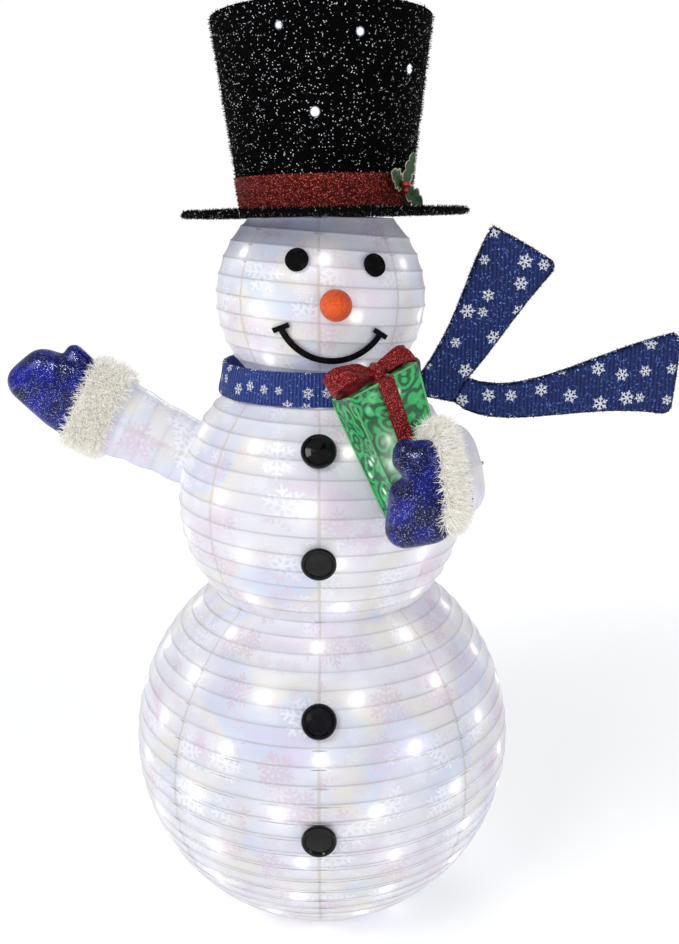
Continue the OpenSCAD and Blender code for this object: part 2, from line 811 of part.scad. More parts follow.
base_stand();
pole_socket();
pole_tube(0);  // pole_lower_tube
pole_tube(1);  // pole_middle_tube
pole_tube(2);  // pole_upper_tube
lock_collar(0);  // lock_collar_lower
lock_collar(1);  // lock_collar_upper
top_spider();
hoop(bottom_ball, low_button_i);  // bottom_hoop_low
hoop(bottom_ball, high_button_i);  // bottom_hoop_high
waist_ring();
hoop(middle_ball, belly_button_i);  // middle_hoop_low
hoop(middle_ball, shoulder_i);  // shoulder_hoop
shoulder_brackets();
hoop(middle_ball, chest_button_i);  // middle_hoop_high
neck_ring();
hoop(head_ball, mouth_i);  // head_hoop_low
hoop(head_ball, nose_i);  // head_hoop_mid
hoop(head_ball, eyes_i);  // head_hoop_high
head_top_ring();
ribs(bottom_ball, [low_button_i, high_button_i]);  // bottom_rib_wires
ribs(middle_ball, [belly_button_i, shoulder_i, chest_button_i]);  // middle_rib_wires
ribs(head_ball, [mouth_i, nose_i, eyes_i]);  // head_rib_wires
bottom_fabric();
middle_fabric();
head_fabric();
light_wire(bottom_ball);  // bottom_light_wire
bulbs(bottom_ball);  // bottom_bulbs
light_wire(middle_ball);  // middle_light_wire
bulbs(middle_ball);  // middle_bulbs
light_wire(head_ball);  // head_light_wire
bulbs(head_ball);  // head_bulbs
eyes();
nose();
mouth();
button(middle_ball, button_heights[3]);  // button_1
button(middle_ball, button_heights[2]);  // button_2
button(bottom_ball, button_heights[1]);  // button_3
button(bottom_ball, button_heights[0]);  // button_4
hat_crown();
hat_brim();
hat_band();
hat_frame();
holly_leaves();
holly_berries();
scarf_collar();
scarf_tail_upper();
scarf_tail_lower();
waving_arm_wire();
waving_sleeve();
waving_cuff();
waving_mitten();
gift_arm_wire();
gift_sleeve();
gift_cuff();
gift_mitten();
gift_box();
gift_ribbon();
gift_bow();
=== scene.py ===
"""Pop-up yard snowman: cloth balls over wire hoops, tinsel hat, knit scarf, wired arms and a lit gift.

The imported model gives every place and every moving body. The classes here cover it with cloth,
tinsel, knit and film, and give each wire, tube, button and bulb its finish. Metres, +Z up, front -Y.
"""

import json
import logging
import math
from dataclasses import dataclass
from typing import Callable, Sequence, Union

import bpy
import numpy as np
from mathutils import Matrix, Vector


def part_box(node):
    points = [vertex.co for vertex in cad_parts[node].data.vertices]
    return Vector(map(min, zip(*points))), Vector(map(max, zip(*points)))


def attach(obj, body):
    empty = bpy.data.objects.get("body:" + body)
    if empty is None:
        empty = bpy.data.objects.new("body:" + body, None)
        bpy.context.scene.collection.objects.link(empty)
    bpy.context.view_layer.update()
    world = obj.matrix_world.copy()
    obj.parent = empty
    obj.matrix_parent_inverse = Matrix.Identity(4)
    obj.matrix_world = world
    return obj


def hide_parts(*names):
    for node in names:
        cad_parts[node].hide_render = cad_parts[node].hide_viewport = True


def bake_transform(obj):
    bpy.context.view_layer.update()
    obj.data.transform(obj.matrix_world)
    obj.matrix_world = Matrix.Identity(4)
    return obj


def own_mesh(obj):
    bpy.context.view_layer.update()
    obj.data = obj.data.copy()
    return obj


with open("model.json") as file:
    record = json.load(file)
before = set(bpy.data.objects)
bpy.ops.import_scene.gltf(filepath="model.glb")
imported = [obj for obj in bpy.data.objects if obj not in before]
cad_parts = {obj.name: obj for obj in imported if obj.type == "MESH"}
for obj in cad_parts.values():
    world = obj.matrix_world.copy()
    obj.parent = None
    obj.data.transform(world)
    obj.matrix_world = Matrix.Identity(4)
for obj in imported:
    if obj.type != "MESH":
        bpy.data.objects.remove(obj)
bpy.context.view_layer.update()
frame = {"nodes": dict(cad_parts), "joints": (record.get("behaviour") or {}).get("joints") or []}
LOG = logging.getLogger("snowman")
Array = np.ndarray
Colour = tuple[float, float, float]


# ---- materials ----


def binary(operation: str, swapped: bool = False) -> Callable[["Shade", "Value"], "Shade"]:
    """An arithmetic operator that adds one Math node.

    Args:
        operation: the node's operation.
        swapped: whether the other value comes first.

    Returns:
        The operator.
    """
    def operator(this: "Shade", other: "Value") -> "Shade":
        """Adds the node."""
        return this.graph.math(operation, *((other, this) if swapped else (this, other)))

    return operator


class Shade:
    """A value or colour inside a material. Arithmetic on values adds Math nodes."""

    def __init__(self, graph: "Graph", socket: bpy.types.NodeSocket) -> None:
        """Keeps the socket and the graph it belongs to."""
        self.graph, self.socket = graph, socket

    __add__ = binary("ADD")
    __radd__ = binary("ADD", swapped=True)
    __sub__ = binary("SUBTRACT")
    __rsub__ = binary("SUBTRACT", swapped=True)
    __mul__ = binary("MULTIPLY")
    __truediv__ = binary("DIVIDE")
    __lt__ = binary("LESS_THAN")

    def fract(self) -> "Shade":
        """Part after the decimal point."""
        return self.graph.math("FRACT", self)

    def size(self) -> "Shade":
        """Absolute value."""
        return self.graph.math("ABSOLUTE", self)

    def ramp(self, low: float, high: float) -> "Shade":
        """Smooth step from 0 at low to 1 at high, or falling where low is the greater.

        Args:
            low: value that gives 0.
            high: value that gives 1.

        Returns:
            The stepped value.
        """
        start, end, first, last = (low, high, 0.0, 1.0) if low < high else (high, low, 1.0, 0.0)
        return self.graph.node(
            "MapRange",
            {"interpolation_type": "SMOOTHSTEP"},
            {"Value": self, "From Min": start, "From Max": end, "To Min": first, "To Max": last},
        )


Value = Union[Shade, float, int, Sequence[float]]
Branches = tuple[tuple[float, float], ...]
SIMPLE: Branches = ((0.52, 0.27),)
RICH: Branches = ((0.34, 0.34), (0.62, 0.26))


class Graph:
    """One material's nodes, written as expressions."""

    def __init__(self, name: str) -> None:
        """Starts a material that holds one Principled shader."""
        self.material = bpy.data.materials.new(name)
        self.material.use_nodes = True
        self.tree = self.material.node_tree
        self.surface = self.tree.nodes["Principled BSDF"]

    def node(self, kind: str, settings: dict | None = None, inputs: dict | None = None,
             out: int | str = 0) -> Shade:
        """Adds one node.

        Args:
            kind: node type, without its ShaderNode prefix.
            settings: properties, set first; stops fills a colour ramp.
            inputs: values or links of its sockets, by name or number.
            out: the output to use.

        Returns:
            That output.
        """
        made = self.tree.nodes.new("ShaderNode" + kind)
        for key, value in (settings or {}).items():
            if key != "stops":
                setattr(made, key, value)
                continue
            elements = made.color_ramp.elements
            while len(elements) < len(value):
                elements.new(0.5)
            for element, (at, colour) in zip(elements, value):
                element.position, element.color = at, (*colour, 1.0)
        for key, value in (inputs or {}).items():
            self.put(made.inputs[key], value)
        return Shade(self, made.outputs[out])

    def put(self, socket: bpy.types.NodeSocket, value: Value) -> None:
        """Links or sets one socket.

        Args:
            socket: the input.
            value: a Shade to link, or a number or colour to set.
        """
        if isinstance(value, Shade):
            self.tree.links.new(value.socket, socket)
        elif socket.type == "RGBA":
            socket.default_value = (*value[:3], 1.0)
        else:
            socket.default_value = value

    def math(self, operation: str, *values: Value) -> Shade:
        """A Math node on values."""
        return self.node("Math", {"operation": operation}, dict(enumerate(values)))

    def vector(self, operation: str, *values: Value, out: int | str = 0) -> Shade:
        """A Vector Math node."""
        return self.node("VectorMath", {"operation": operation}, dict(enumerate(values)), out)

    def place(self) -> Shade:
        """The point's place in the object, in metres."""
        return self.node("TexCoord", out="Object")

    def split(self, vector: Shade) -> tuple[Shade, Shade, Shade]:
        """The three parts of a vector."""
        first = self.node("SeparateXYZ", None, {0: vector})
        outputs = first.socket.node.outputs
        return first, Shade(self, outputs[1]), Shade(self, outputs[2])

    def uv(self) -> tuple[Shade, Shade]:
        """The two parts of the piece's own UV map."""
        across, along, _ = self.split(self.node("TexCoord", out="UV"))
        return across, along

    def attribute(self, name: str) -> Shade:
        """A number stored on the mesh's points."""
        return self.node("Attribute", {"attribute_name": name}, out="Fac")

    def noise(self, where: Value, scale: float, detail: float = 2.0, out: str = "Fac") -> Shade:
        """Soft noise at a scale per metre."""
        return self.node("TexNoise", None, {"Vector": where, "Scale": scale, "Detail": detail}, out)

    def cells(self, where: Value, scale: float, out: str = "Distance",
              settings: dict | None = None) -> Shade:
        """Random cells at a scale per metre."""
        return self.node("TexVoronoi", settings, {"Vector": where, "Scale": scale}, out)

    def mix(self, share: Value, first: Value, second: Value) -> Shade:
        """Mixes two colours.

        Args:
            share: how much of the second.
            first: colour at 0.
            second: colour at 1.

        Returns:
            The mixed colour.
        """
        return self.node("Mix", {"data_type": "RGBA"}, {0: share, 6: first, 7: second}, 2)

    def colours(self, value: Value, stops: Sequence[tuple[float, Colour]]) -> Shade:
        """A colour ramp."""
        return self.node("ValToRGB", {"stops": stops}, {0: value})

    def bump(self, height: Value, distance: float, strength: float = 1.0,
             under: Shade | None = None) -> Shade:
        """A normal bent by a height.

        Args:
            height: the height, about 0 to 1.
            distance: metres for a height of 1.
            strength: share of the effect.
            under: a normal that this one adds to.

        Returns:
            The normal.
        """
        inputs = {"Height": height, "Distance": distance, "Strength": strength}
        if under is not None:
            inputs["Normal"] = under
        return self.node("Bump", None, inputs)

    def facets(self, where: Value, scale: float, turn: float) -> Shade:
        """The surface normal tipped at random in each small cell, as glitter lies.

        Args:
            where: coordinates of the cells.
            scale: cells per metre.
            turn: how far a flake tips.

        Returns:
            The normal.
        """
        random = self.cells(where, scale, "Color")
        centred = self.vector("SUBTRACT", random, (0.5, 0.5, 0.5))
        tipped = self.vector("MULTIPLY", centred, (turn, turn, turn))
        normal = self.node("NewGeometry", out="Normal")
        return self.vector("NORMALIZE", self.vector("ADD", normal, tipped))

    def snowflakes(self, across: Value, along: Value, size: float, seed: float,
                   reach: float = 0.2, thin: float = 0.085, branches: Branches = SIMPLE) -> Shade:
        """Six-armed snowflakes scattered over a flat pattern.

        Args:
            across: metres one way.
            along: metres the other way.
            size: metres from one snowflake to the next.
            seed: which scatter.
            reach: a snowflake's least radius, as a share of size.
            thin: half an arm's width, as a share of its length.
            branches: where side branches start and how long they are.

        Returns:
            1 on a snowflake, 0 off it.
        """
        flat = self.node("CombineXYZ", None, {0: across + seed, 1: along, 2: 0.0})
        flat = self.vector("SCALE", flat)
        self.put(flat.socket.node.inputs["Scale"], 1 / size)
        setting = {"voronoi_dimensions": "2D"}
        cell = {"Vector": flat, "Scale": 1.0, "Randomness": 0.55}
        point = self.node("TexVoronoi", setting, cell, "Position")
        chance, spin, _ = self.split(self.node("TexVoronoi", setting, cell, "Color"))
        east, north, _ = self.split(self.vector("SUBTRACT", flat, point))
        return self.one_flake(east, north, chance * 0.1 + reach, spin, thin, branches)

    def one_flake(self, east: Shade, north: Shade, reach: Shade, spin: Shade, thin: float,
                  branches: Branches) -> Shade:
        """One snowflake about a centre.

        Args:
            east: distance from the centre one way, where 1 is the spacing.
            north: distance the other way.
            reach: its radius.
            spin: random number that turns it.
            thin: half an arm's width.
            branches: where side branches start and how long they are.

        Returns:
            1 on the snowflake, 0 off it.
        """
        away = self.math("SQRT", east * east + north * north) / reach
        sixth = math.pi / 3
        angle = self.math("ARCTAN2", north, east) / sixth + spin * 3 + 12
        fold = (angle.fract() - 0.5).size() * sixth
        forward = away * self.math("COSINE", fold)
        side = away * self.math("SINE", fold)
        inside = away < 1.0
        mask = side < thin
        for root, length in branches:
            line = ((forward - root) * 0.866 - side * 0.5).size() < thin
            mask = self.math("MAXIMUM", mask, line * (side < length))
        return mask * inside

    def wear(self, **sockets: Value) -> bpy.types.Material:
        """Sets the shader's sockets.

        Args:
            **sockets: values by socket name, with _ for a space.

        Returns:
            The material.
        """
        for key, value in sockets.items():
            self.put(self.surface.inputs[key.replace("_", " ")], value)
        return self.material


@dataclass(frozen=True)
class Finish:
    """A finish by its name."""

    name: str

    def make(self) -> bpy.types.Material:
        """Builds the material."""
        raise NotImplementedError

    def dress(self, *pieces: bpy.types.Object) -> None:
        """Puts the finish on pieces, as their only material."""
        made = bpy.data.materials.get(self.name) or self.make()
        for piece in pieces:
            piece.data.materials.clear()
            piece.data.materials.append(made)
            for face in piece.data.polygons:
                face.material_index = 0


@dataclass(frozen=True)
class PearlCloth(Finish):
    """Thin white pearl cloth, printed with snowflakes, that glows near the bulbs behind it and faintly
    all over, as painted light that lifts its shade.
    """

    gores: int = 8
    bands: float = 24.0
    pitch: float = 0.029
    gore_width: float = 0.26
    lines: float = 0.5
    seams: float = 0.55

    def make(self) -> bpy.types.Material:
        """Builds the cloth."""
        g = Graph(self.name)
        place = g.place()
        across, along = g.uv()
        blotch = g.noise(place, 9.0, 3.0)
        tint = g.noise(g.vector("ADD", place, (3.1, 7.7, 1.3)), 6.0, 2.0)
        pastel = g.colours(tint, [(0.3, (0.74, 0.60, 0.70)), (0.43, (0.76, 0.75, 0.78)),
                                  (0.52, (0.78, 0.73, 0.64)), (0.60, (0.62, 0.69, 0.80)),
                                  (0.70, (0.69, 0.65, 0.80))])
        cloth = g.mix(blotch.ramp(0.3, 0.62), (0.76, 0.76, 0.79), pastel)
        wide, tall = across * (self.gore_width * self.gores), along * (self.bands * self.pitch)
        flakes = g.snowflakes(wide, tall, 0.088, 0.0, 0.33, 0.062, RICH)
        small = g.snowflakes(wide, tall, 0.046, 0.7, 0.28, 0.060, RICH)
        shift = g.noise(place, 7.0, 1.0).ramp(0.42, 0.58)
        print_tint = g.mix(shift, (0.72, 0.56, 0.64), (0.92, 0.93, 0.97))
        cloth = g.mix(flakes * 0.7 + small * (1.0 - flakes) * 0.4, cloth, print_tint)
        # Dark line on each hoop: the stitched casing, with the wire's painted shadow through the
        # cloth.
        from_hoop = ((along * self.bands + 0.5).fract() - 0.5).size() * self.pitch
        fade = g.noise(place, 5.0, 2.0).ramp(0.35, 0.65)
        hoop = from_hoop.ramp(0.0021, 0.0007)
        cloth = g.mix(hoop * (fade * 0.5 + 0.5) * self.lines, cloth, (0.30, 0.27, 0.23))
        # Faint grey band on and beside each hoop: painted shade of the raised casing.
        channel_shade = from_hoop.ramp(0.0056, 0.0030) * 0.10
        cloth = g.mix(channel_shade, cloth, (0.5, 0.5, 0.55))
        from_seam = ((across * self.gores + 0.5).fract() - 0.5).size() * self.gore_width
        seam = from_seam.ramp(0.0030, 0.0014)
        cloth = g.mix(seam * self.seams, cloth, (0.66, 0.56, 0.40))
        stitch = (along * (self.bands * 9)).fract() < 0.55
        weave = g.noise(place, 900.0, 1.0)
        crease = g.noise(g.vector("MULTIPLY", place, (1.0, 1.0, 0.45)), 38.0, 3.0)
        height = weave * 0.12 + crease * 0.9 + flakes * 0.35 + seam * stitch * 0.4
        glow = g.attribute("glow")
        # Away from the bulbs the cloth still glows a faint blue: painted light that lifts its shade.
        light = g.mix(glow, (0.045, 0.05, 0.085), (1.0, 0.95, 0.88))
        return g.wear(
            Base_Color=cloth, Roughness=0.34 + blotch * 0.22 - flakes * 0.1,
            Normal=g.bump(height, 0.0016), Sheen_Weight=0.25, Sheen_Roughness=0.4,
            Coat_Weight=flakes * 0.25 + 0.08, Emission_Color=light, Emission_Strength=1.1,
            Subsurface_Weight=0.0, Specular_IOR_Level=0.45)


@dataclass(frozen=True)
class Glitter(Finish):
    """Cloth coated with loose glitter, with lights that show through where lamps is 1."""

    ground: Colour = (0.02, 0.02, 0.02)
    fleck: Colour = (0.9, 0.9, 0.9)
    scale: float = 520.0
    share: float = 0.2
    shine: float = 0.75
    roughness: float = 0.26
    dip: float = 0.35
    gloss: float = 0.5
    lamps: float = 0.0
    lamp_spacing: float = 13.0

    def make(self) -> bpy.types.Material:
        """Builds the coated cloth."""
        g = Graph(self.name)
        place = g.place()
        chance, depth, _ = g.split(g.cells(place, self.scale, "Color"))
        bright = chance < self.share
        patch = g.noise(place, 28.0, 2.0)
        dim = tuple(c * self.dip for c in self.ground)
        ground = g.mix(depth * 0.7 + patch * 0.3, dim, self.ground)
        rough = g.noise(place, 1400.0, 1.0)
        tipped = g.facets(place, self.scale, 1.1)
        lit, _, _ = g.split(g.cells(place, self.lamp_spacing, "Color"))
        near = g.cells(place, self.lamp_spacing).ramp(0.115, 0.02)
        spot = near * (lit < self.lamps)
        return g.wear(
            Base_Color=g.mix(bright, ground, self.fleck), Metallic=self.shine - bright * 0.2,
            Emission_Color=g.mix(spot, (0.0, 0.0, 0.0), (0.8, 0.85, 1.0)), Emission_Strength=4.0,
            Roughness=self.roughness + rough * 0.25, Specular_IOR_Level=self.gloss,
            Normal=g.bump(depth, 0.0006, 0.7, tipped))


@dataclass(frozen=True)
class Strand(Finish):
    """Cut foil strands whose colour changes from one to the next."""

    dark: Colour = (0.01, 0.01, 0.012)
    mid: Colour = (0.05, 0.05, 0.06)
    bright: Colour = (0.9, 0.9, 0.92)
    share: float = 0.2
    metal: float = 0.85
    roughness: float = 0.25
    glow: float = 0.0
    gloss: float = 0.5

    def make(self) -> bpy.types.Material:
        """Builds the foil."""
        g = Graph(self.name)
        tint = g.attribute("tint")
        edge = 1.0 - self.share
        colour = g.colours(tint, [(0.0, self.dark), (edge * 0.9, self.mid), (edge, self.bright),
                                  (1.0, self.bright)])
        crinkle = g.noise(g.place(), 700.0, 1.0)
        # Where glow is set, each strand gives out its mid colour: painted light that lifts the shade
        # among them.
        return g.wear(Base_Color=colour, Metallic=self.metal, Roughness=self.roughness + crinkle * 0.2,
                      Normal=g.bump(crinkle, 0.0006), Emission_Color=self.mid,
                      Emission_Strength=self.glow, Specular_IOR_Level=self.gloss)


@dataclass(frozen=True)
class RibKnit(Finish):
    """Ribbed knit with glitter thread and white snowflakes. A radius wraps it round +Z."""

    rib: float
    radius: float = 0.0
    # The two colours are painted shade between the ribs and painted light on their tops.
    deep: Colour = (0.002, 0.005, 0.035)
    lit_crest: Colour = (0.012, 0.034, 0.19)
    flake_gap: float = 0.044
    loop_height: float = 0.0042

    def make(self) -> bpy.types.Material:
        """Builds the knit."""
        g = Graph(self.name)
        place = g.place()
        across, back, along = g.split(place)
        if self.radius:
            across = g.math("ARCTAN2", back, across) * self.radius
        ridge = g.math("SINE", across * (2 * math.pi / self.rib)) * 0.5 + 0.5
        loop = g.math("SINE", along * (2 * math.pi / self.loop_height) + ridge * 2.2) * 0.5 + 0.5
        chance, _, _ = g.split(g.cells(place, 620.0, "Color"))
        fibre = g.noise(place, 420.0, 3.0)
        spark = chance < 0.06
        # Ribs and stitches run from painted shade in their troughs to painted light on their tops.
        colour = g.mix(ridge * 0.75 + loop * 0.15 + fibre * 0.1, self.deep, self.lit_crest)
        colour = g.mix(spark * 0.7, colour, (0.16, 0.26, 0.75))
        flakes = g.snowflakes(across, along, self.flake_gap, 0.31)
        colour = g.mix(flakes * (0.75 + loop * 0.2), colour, (0.86, 0.88, 0.92))
        height = ridge + loop * 0.25 + fibre * 0.15 + flakes * 0.2
        return g.wear(
            Base_Color=colour, Roughness=0.62 - spark * 0.4, Metallic=spark * 0.7,
            Normal=g.bump(height, 0.0016, 0.9), Specular_IOR_Level=0.25)


@dataclass(frozen=True)
class Gloss(Finish):
    """Glossy moulded plastic with faint dust and scratches."""

    colour: Colour = (0.006, 0.006, 0.007)
    roughness: float = 0.07
    coat: float = 1.0
    glow: float = 0.0
    gloss: float = 0.5

    def make(self) -> bpy.types.Material:
        """Builds the plastic."""
        g = Graph(self.name)
        place = g.place()
        dust = g.noise(place, 90.0, 4.0)
        scratch = g.noise(g.vector("MULTIPLY", place, (1.0, 1.0, 12.0)), 60.0, 2.0)
        pale = tuple(min(1.0, c * 1.6 + 0.012) for c in self.colour)
        return g.wear(
            Base_Color=g.mix(dust.ramp(0.45, 0.75) * 0.6, self.colour, pale),
            Roughness=self.roughness + dust * 0.05 + scratch.ramp(0.6, 0.8) * 0.08,
            Normal=g.bump(scratch, 0.00008), Coat_Weight=self.coat, Coat_Roughness=0.04,
            Specular_IOR_Level=self.gloss,
            Emission_Color=self.colour, Emission_Strength=self.glow)


@dataclass(frozen=True)
class Metal(Finish):
    """Bare or painted steel with a drawn grain and dull patches."""

    colour: Colour = (0.6, 0.61, 0.62)
    metal: float = 1.0
    roughness: float = 0.3

    def make(self) -> bpy.types.Material:
        """Builds the metal."""
        g = Graph(self.name)
        place = g.place()
        patch = g.noise(place, 40.0, 4.0)
        grain = g.noise(g.vector("MULTIPLY", place, (1.0, 1.0, 0.06)), 900.0, 2.0)
        dull = tuple(c * 0.62 for c in self.colour)
        return g.wear(
            Base_Color=g.mix(patch.ramp(0.4, 0.7) * 0.6, self.colour, dull), Metallic=self.metal,
            Roughness=self.roughness + patch * 0.15 + grain * 0.1, Normal=g.bump(grain, 0.0002))


@dataclass(frozen=True)
class Satin(Finish):
    """Satin cloth with fine glitter in its weave."""

    # The two colours are painted shade in the folds and painted sheen on their tops.
    deep: Colour = (0.001, 0.002, 0.045)
    lit_crest: Colour = (0.003, 0.008, 0.27)
    spark: Colour = (0.50, 0.56, 0.95)
    share: float = 0.06
    scale: float = 1300.0

    def make(self) -> bpy.types.Material:
        """Builds the satin."""
        g = Graph(self.name)
        place = g.place()
        chance, _, _ = g.split(g.cells(place, self.scale, "Color"))
        bright = chance < self.share
        fold = g.noise(place, 26.0, 3.0)
        # Folds run from painted shade to painted sheen.
        colour = g.mix(fold.ramp(0.35, 0.68), self.deep, self.lit_crest)
        colour = g.mix(bright * 0.85, colour, self.spark)
        return g.wear(
            Base_Color=colour, Metallic=bright * 0.4 + 0.25, Roughness=0.3 - bright * 0.1,
            Normal=g.bump(fold, 0.004, 0.6, g.facets(place, self.scale, 0.22)), Coat_Weight=0.15,
            Specular_IOR_Level=0.3)


@dataclass(frozen=True)
class SwirlFilm(Finish):
    """Green film with a darker swirl print, lit from inside."""

    pale: Colour = (0.020, 0.36, 0.10)
    dark: Colour = (0.002, 0.10, 0.03)

    def make(self) -> bpy.types.Material:
        """Builds the film."""
        g = Graph(self.name)
        place = g.place()
        warp = g.noise(place, 14.0, 1.0, "Color")
        bent = g.vector("ADD", place, g.vector("MULTIPLY", warp, (0.05, 0.05, 0.05)))
        swirl = g.math("SINE", g.cells(bent, 36.0) * 17.0)
        edge = swirl.ramp(-0.7, 0.5)
        bulb = g.cells(place, 24.0).ramp(0.20, 0.05)
        glint = g.noise(place, 60.0, 2.0)
        colour = g.mix(edge, self.dark, self.pale)
        # Pale green glints: painted highlights.
        colour = g.mix(glint.ramp(0.55, 0.8) * 0.5, colour, (0.35, 0.85, 0.5))
        glow = g.math("MAXIMUM", g.attribute("glow"), bulb)
        light = g.mix(glow, g.mix(edge * 0.5, (0.0, 0.0, 0.0), (0.01, 0.20, 0.05)), (0.85, 1.0, 0.85))
        return g.wear(
            Base_Color=colour, Roughness=0.24 + glint * 0.2, Coat_Weight=0.15,
            Normal=g.bump(glint * 0.7 + edge * 0.3, 0.003), Emission_Color=light,
            Emission_Strength=0.8, Specular_IOR_Level=0.35)


@dataclass(frozen=True)
class Leaf(Finish):
    """Printed holly cloth: dark green with veins and a cream edge."""

    def make(self) -> bpy.types.Material:
        """Builds the leaf."""
        g = Graph(self.name)
        across, along = g.uv()
        place = g.place()
        from_mid = (across - 0.5).size() * 2
        vein = ((along * 7 + from_mid * 1.6).fract() - 0.5).size().ramp(0.42, 0.49)
        middle = from_mid.ramp(0.10, 0.03)
        speck = g.noise(place, 300.0, 2.0)
        colour = g.mix(speck.ramp(0.3, 0.7), (0.008, 0.045, 0.014), (0.025, 0.13, 0.03))
        colour = g.mix(vein * 0.4 + middle * 0.5, colour, (0.10, 0.26, 0.08))
        colour = g.mix(from_mid.ramp(0.80, 0.93), colour, (0.72, 0.68, 0.48))
        return g.wear(Base_Color=colour, Roughness=0.42 + speck * 0.2, Coat_Weight=0.15,
                      Normal=g.bump(vein + middle, 0.0008))


@dataclass(frozen=True)
class StudioFloor(Finish):
    """Pale floor that glows, least near the snowman and fully from 5 m out: painted light that whitens
    it towards the horizon.
    """

    def make(self) -> bpy.types.Material:
        """Builds the floor."""
        g = Graph(self.name)
        grain = g.noise(g.place(), 30.0, 2.0)
        # The floor's glow is painted light, least within 0.7 m and full from 5 m out.
        away = g.vector("LENGTH", g.place(), out="Value").ramp(0.7, 5.0)
        return g.wear(Base_Color=g.mix(grain * 0.2, (0.90, 0.90, 0.90), (0.87, 0.87, 0.88)),
                      Roughness=0.9, Specular_IOR_Level=0.1, Emission_Strength=0.8,
                      Emission_Color=g.mix(away, (0.38, 0.38, 0.38), (1.0, 1.0, 1.0)))


# ---- tools ----


def pick(piece: bpy.types.Object) -> None:
    """Leaves one piece selected and active."""
    if bpy.context.mode != "OBJECT":
        bpy.ops.object.mode_set(mode="OBJECT")
    bpy.ops.object.select_all(action="DESELECT")
    piece.select_set(True)
    bpy.context.view_layer.objects.active = piece


def points(piece: bpy.types.Object) -> Array:
    """The places of a mesh's points."""
    flat = np.empty(len(piece.data.vertices) * 3)
    piece.data.vertices.foreach_get("co", flat)
    return flat.reshape(-1, 3)


def put_points(piece: bpy.types.Object, places: Array) -> None:
    """Moves a mesh's points."""
    piece.data.vertices.foreach_set("co", np.ascontiguousarray(places, dtype=np.float32).ravel())
    piece.data.update()


def normals(piece: bpy.types.Object) -> Array:
    """The normals at a mesh's points."""
    flat = np.empty(len(piece.data.vertices) * 3, np.float32)
    piece.data.vertex_normals.foreach_get("vector", flat)
    return flat.reshape(-1, 3).astype(float)


def store(piece: bpy.types.Object, name: str, values: Array) -> None:
    """Stores a number on each point."""
    made = piece.data.attributes.get(name) or piece.data.attributes.new(name, "FLOAT", "POINT")
    made.data.foreach_set("value", np.ascontiguousarray(values, dtype=np.float32))


def tidy(piece: bpy.types.Object, merge: float = 1e-5, outward: bool = True) -> None:
    """Merges doubled points and turns the faces outwards.

    Args:
        piece: the mesh.
        merge: how close doubled points lie.
        outward: also work the normals out again.
    """
    pick(piece)
    bpy.ops.object.mode_set(mode="EDIT")
    bpy.ops.mesh.select_all(action="SELECT")
    bpy.ops.mesh.remove_doubles(threshold=merge)
    if outward:
        bpy.ops.mesh.normals_make_consistent(inside=False)
    bpy.ops.object.mode_set(mode="OBJECT")
    bpy.ops.object.shade_smooth()


def modify(piece: bpy.types.Object, kind: str, **settings: object) -> None:
    """Adds a modifier and applies it.

    Args:
        piece: the mesh.
        kind: modifier type.
        **settings: its properties.
    """
    pick(piece)
    made = piece.modifiers.new(kind.title(), kind)
    for key, value in settings.items():
        setattr(made, key, value)
    bpy.ops.object.modifier_apply(modifier=made.name)


def surface(name: str, columns: int, rows: int, place: Callable[[Array, Array], Array],
            toward: Array | None = None) -> bpy.types.Object:
    """A grid wrapped to a shape, with its own UV map.

    Args:
        name: the piece's name.
        columns: faces across.
        rows: faces along.
        place: gives points from across and along, each 0 to 1.
        toward: a point that the faces look away from.

    Returns:
        The piece.
    """
    bpy.ops.object.select_all(action="DESELECT")
    bpy.ops.mesh.primitive_grid_add(x_subdivisions=columns, y_subdivisions=rows, size=2)
    piece = bpy.context.object
    piece.name = piece.data.name = name
    flat = points(piece)
    put_points(piece, place((flat[:, 0] + 1) / 2, (flat[:, 1] + 1) / 2))
    tidy(piece, 1e-6, toward is None)
    if toward is not None:
        if ((points(piece) - toward) * normals(piece)).sum() < 0:
            pick(piece)
            bpy.ops.object.mode_set(mode="EDIT")
            bpy.ops.mesh.select_all(action="SELECT")
            bpy.ops.mesh.flip_normals()
            bpy.ops.object.mode_set(mode="OBJECT")
    return piece


def copy_of(node: str, name: str) -> bpy.types.Object:
    """A merged copy of a CAD node's mesh."""
    piece = bpy.data.objects.new(name, frame["nodes"][node].data.copy())
    bpy.context.scene.collection.objects.link(piece)
    piece.data.materials.clear()
    pick(piece)
    bpy.ops.object.mode_set(mode="EDIT")
    bpy.ops.mesh.customdata_custom_splitnormals_clear()
    bpy.ops.object.mode_set(mode="OBJECT")
    tidy(piece, 1e-5, False)
    return piece


def join(name: str, pieces: Sequence[bpy.types.Object]) -> bpy.types.Object:
    """Joins pieces into one."""
    pick(pieces[0])
    for piece in pieces:
        piece.select_set(True)
    bpy.ops.object.join()
    pieces[0].name = pieces[0].data.name = name
    return pieces[0]


def frames(path: Array, closed: bool) -> tuple[Array, Array]:
    """Two directions square to a path at each of its points.

    Args:
        path: the points.
        closed: whether the path returns to its start.

    Returns:
        The two unit directions.
    """
    along = np.roll(path, -1, 0) - np.roll(path, 1, 0)
    if not closed:
        along[0], along[-1] = path[1] - path[0], path[-1] - path[-2]
    along /= np.linalg.norm(along, axis=1)[:, None]
    first = np.cross(along, (0.31, 0.17, 0.94))
    first /= np.linalg.norm(first, axis=1)[:, None]
    return first, np.cross(along, first)


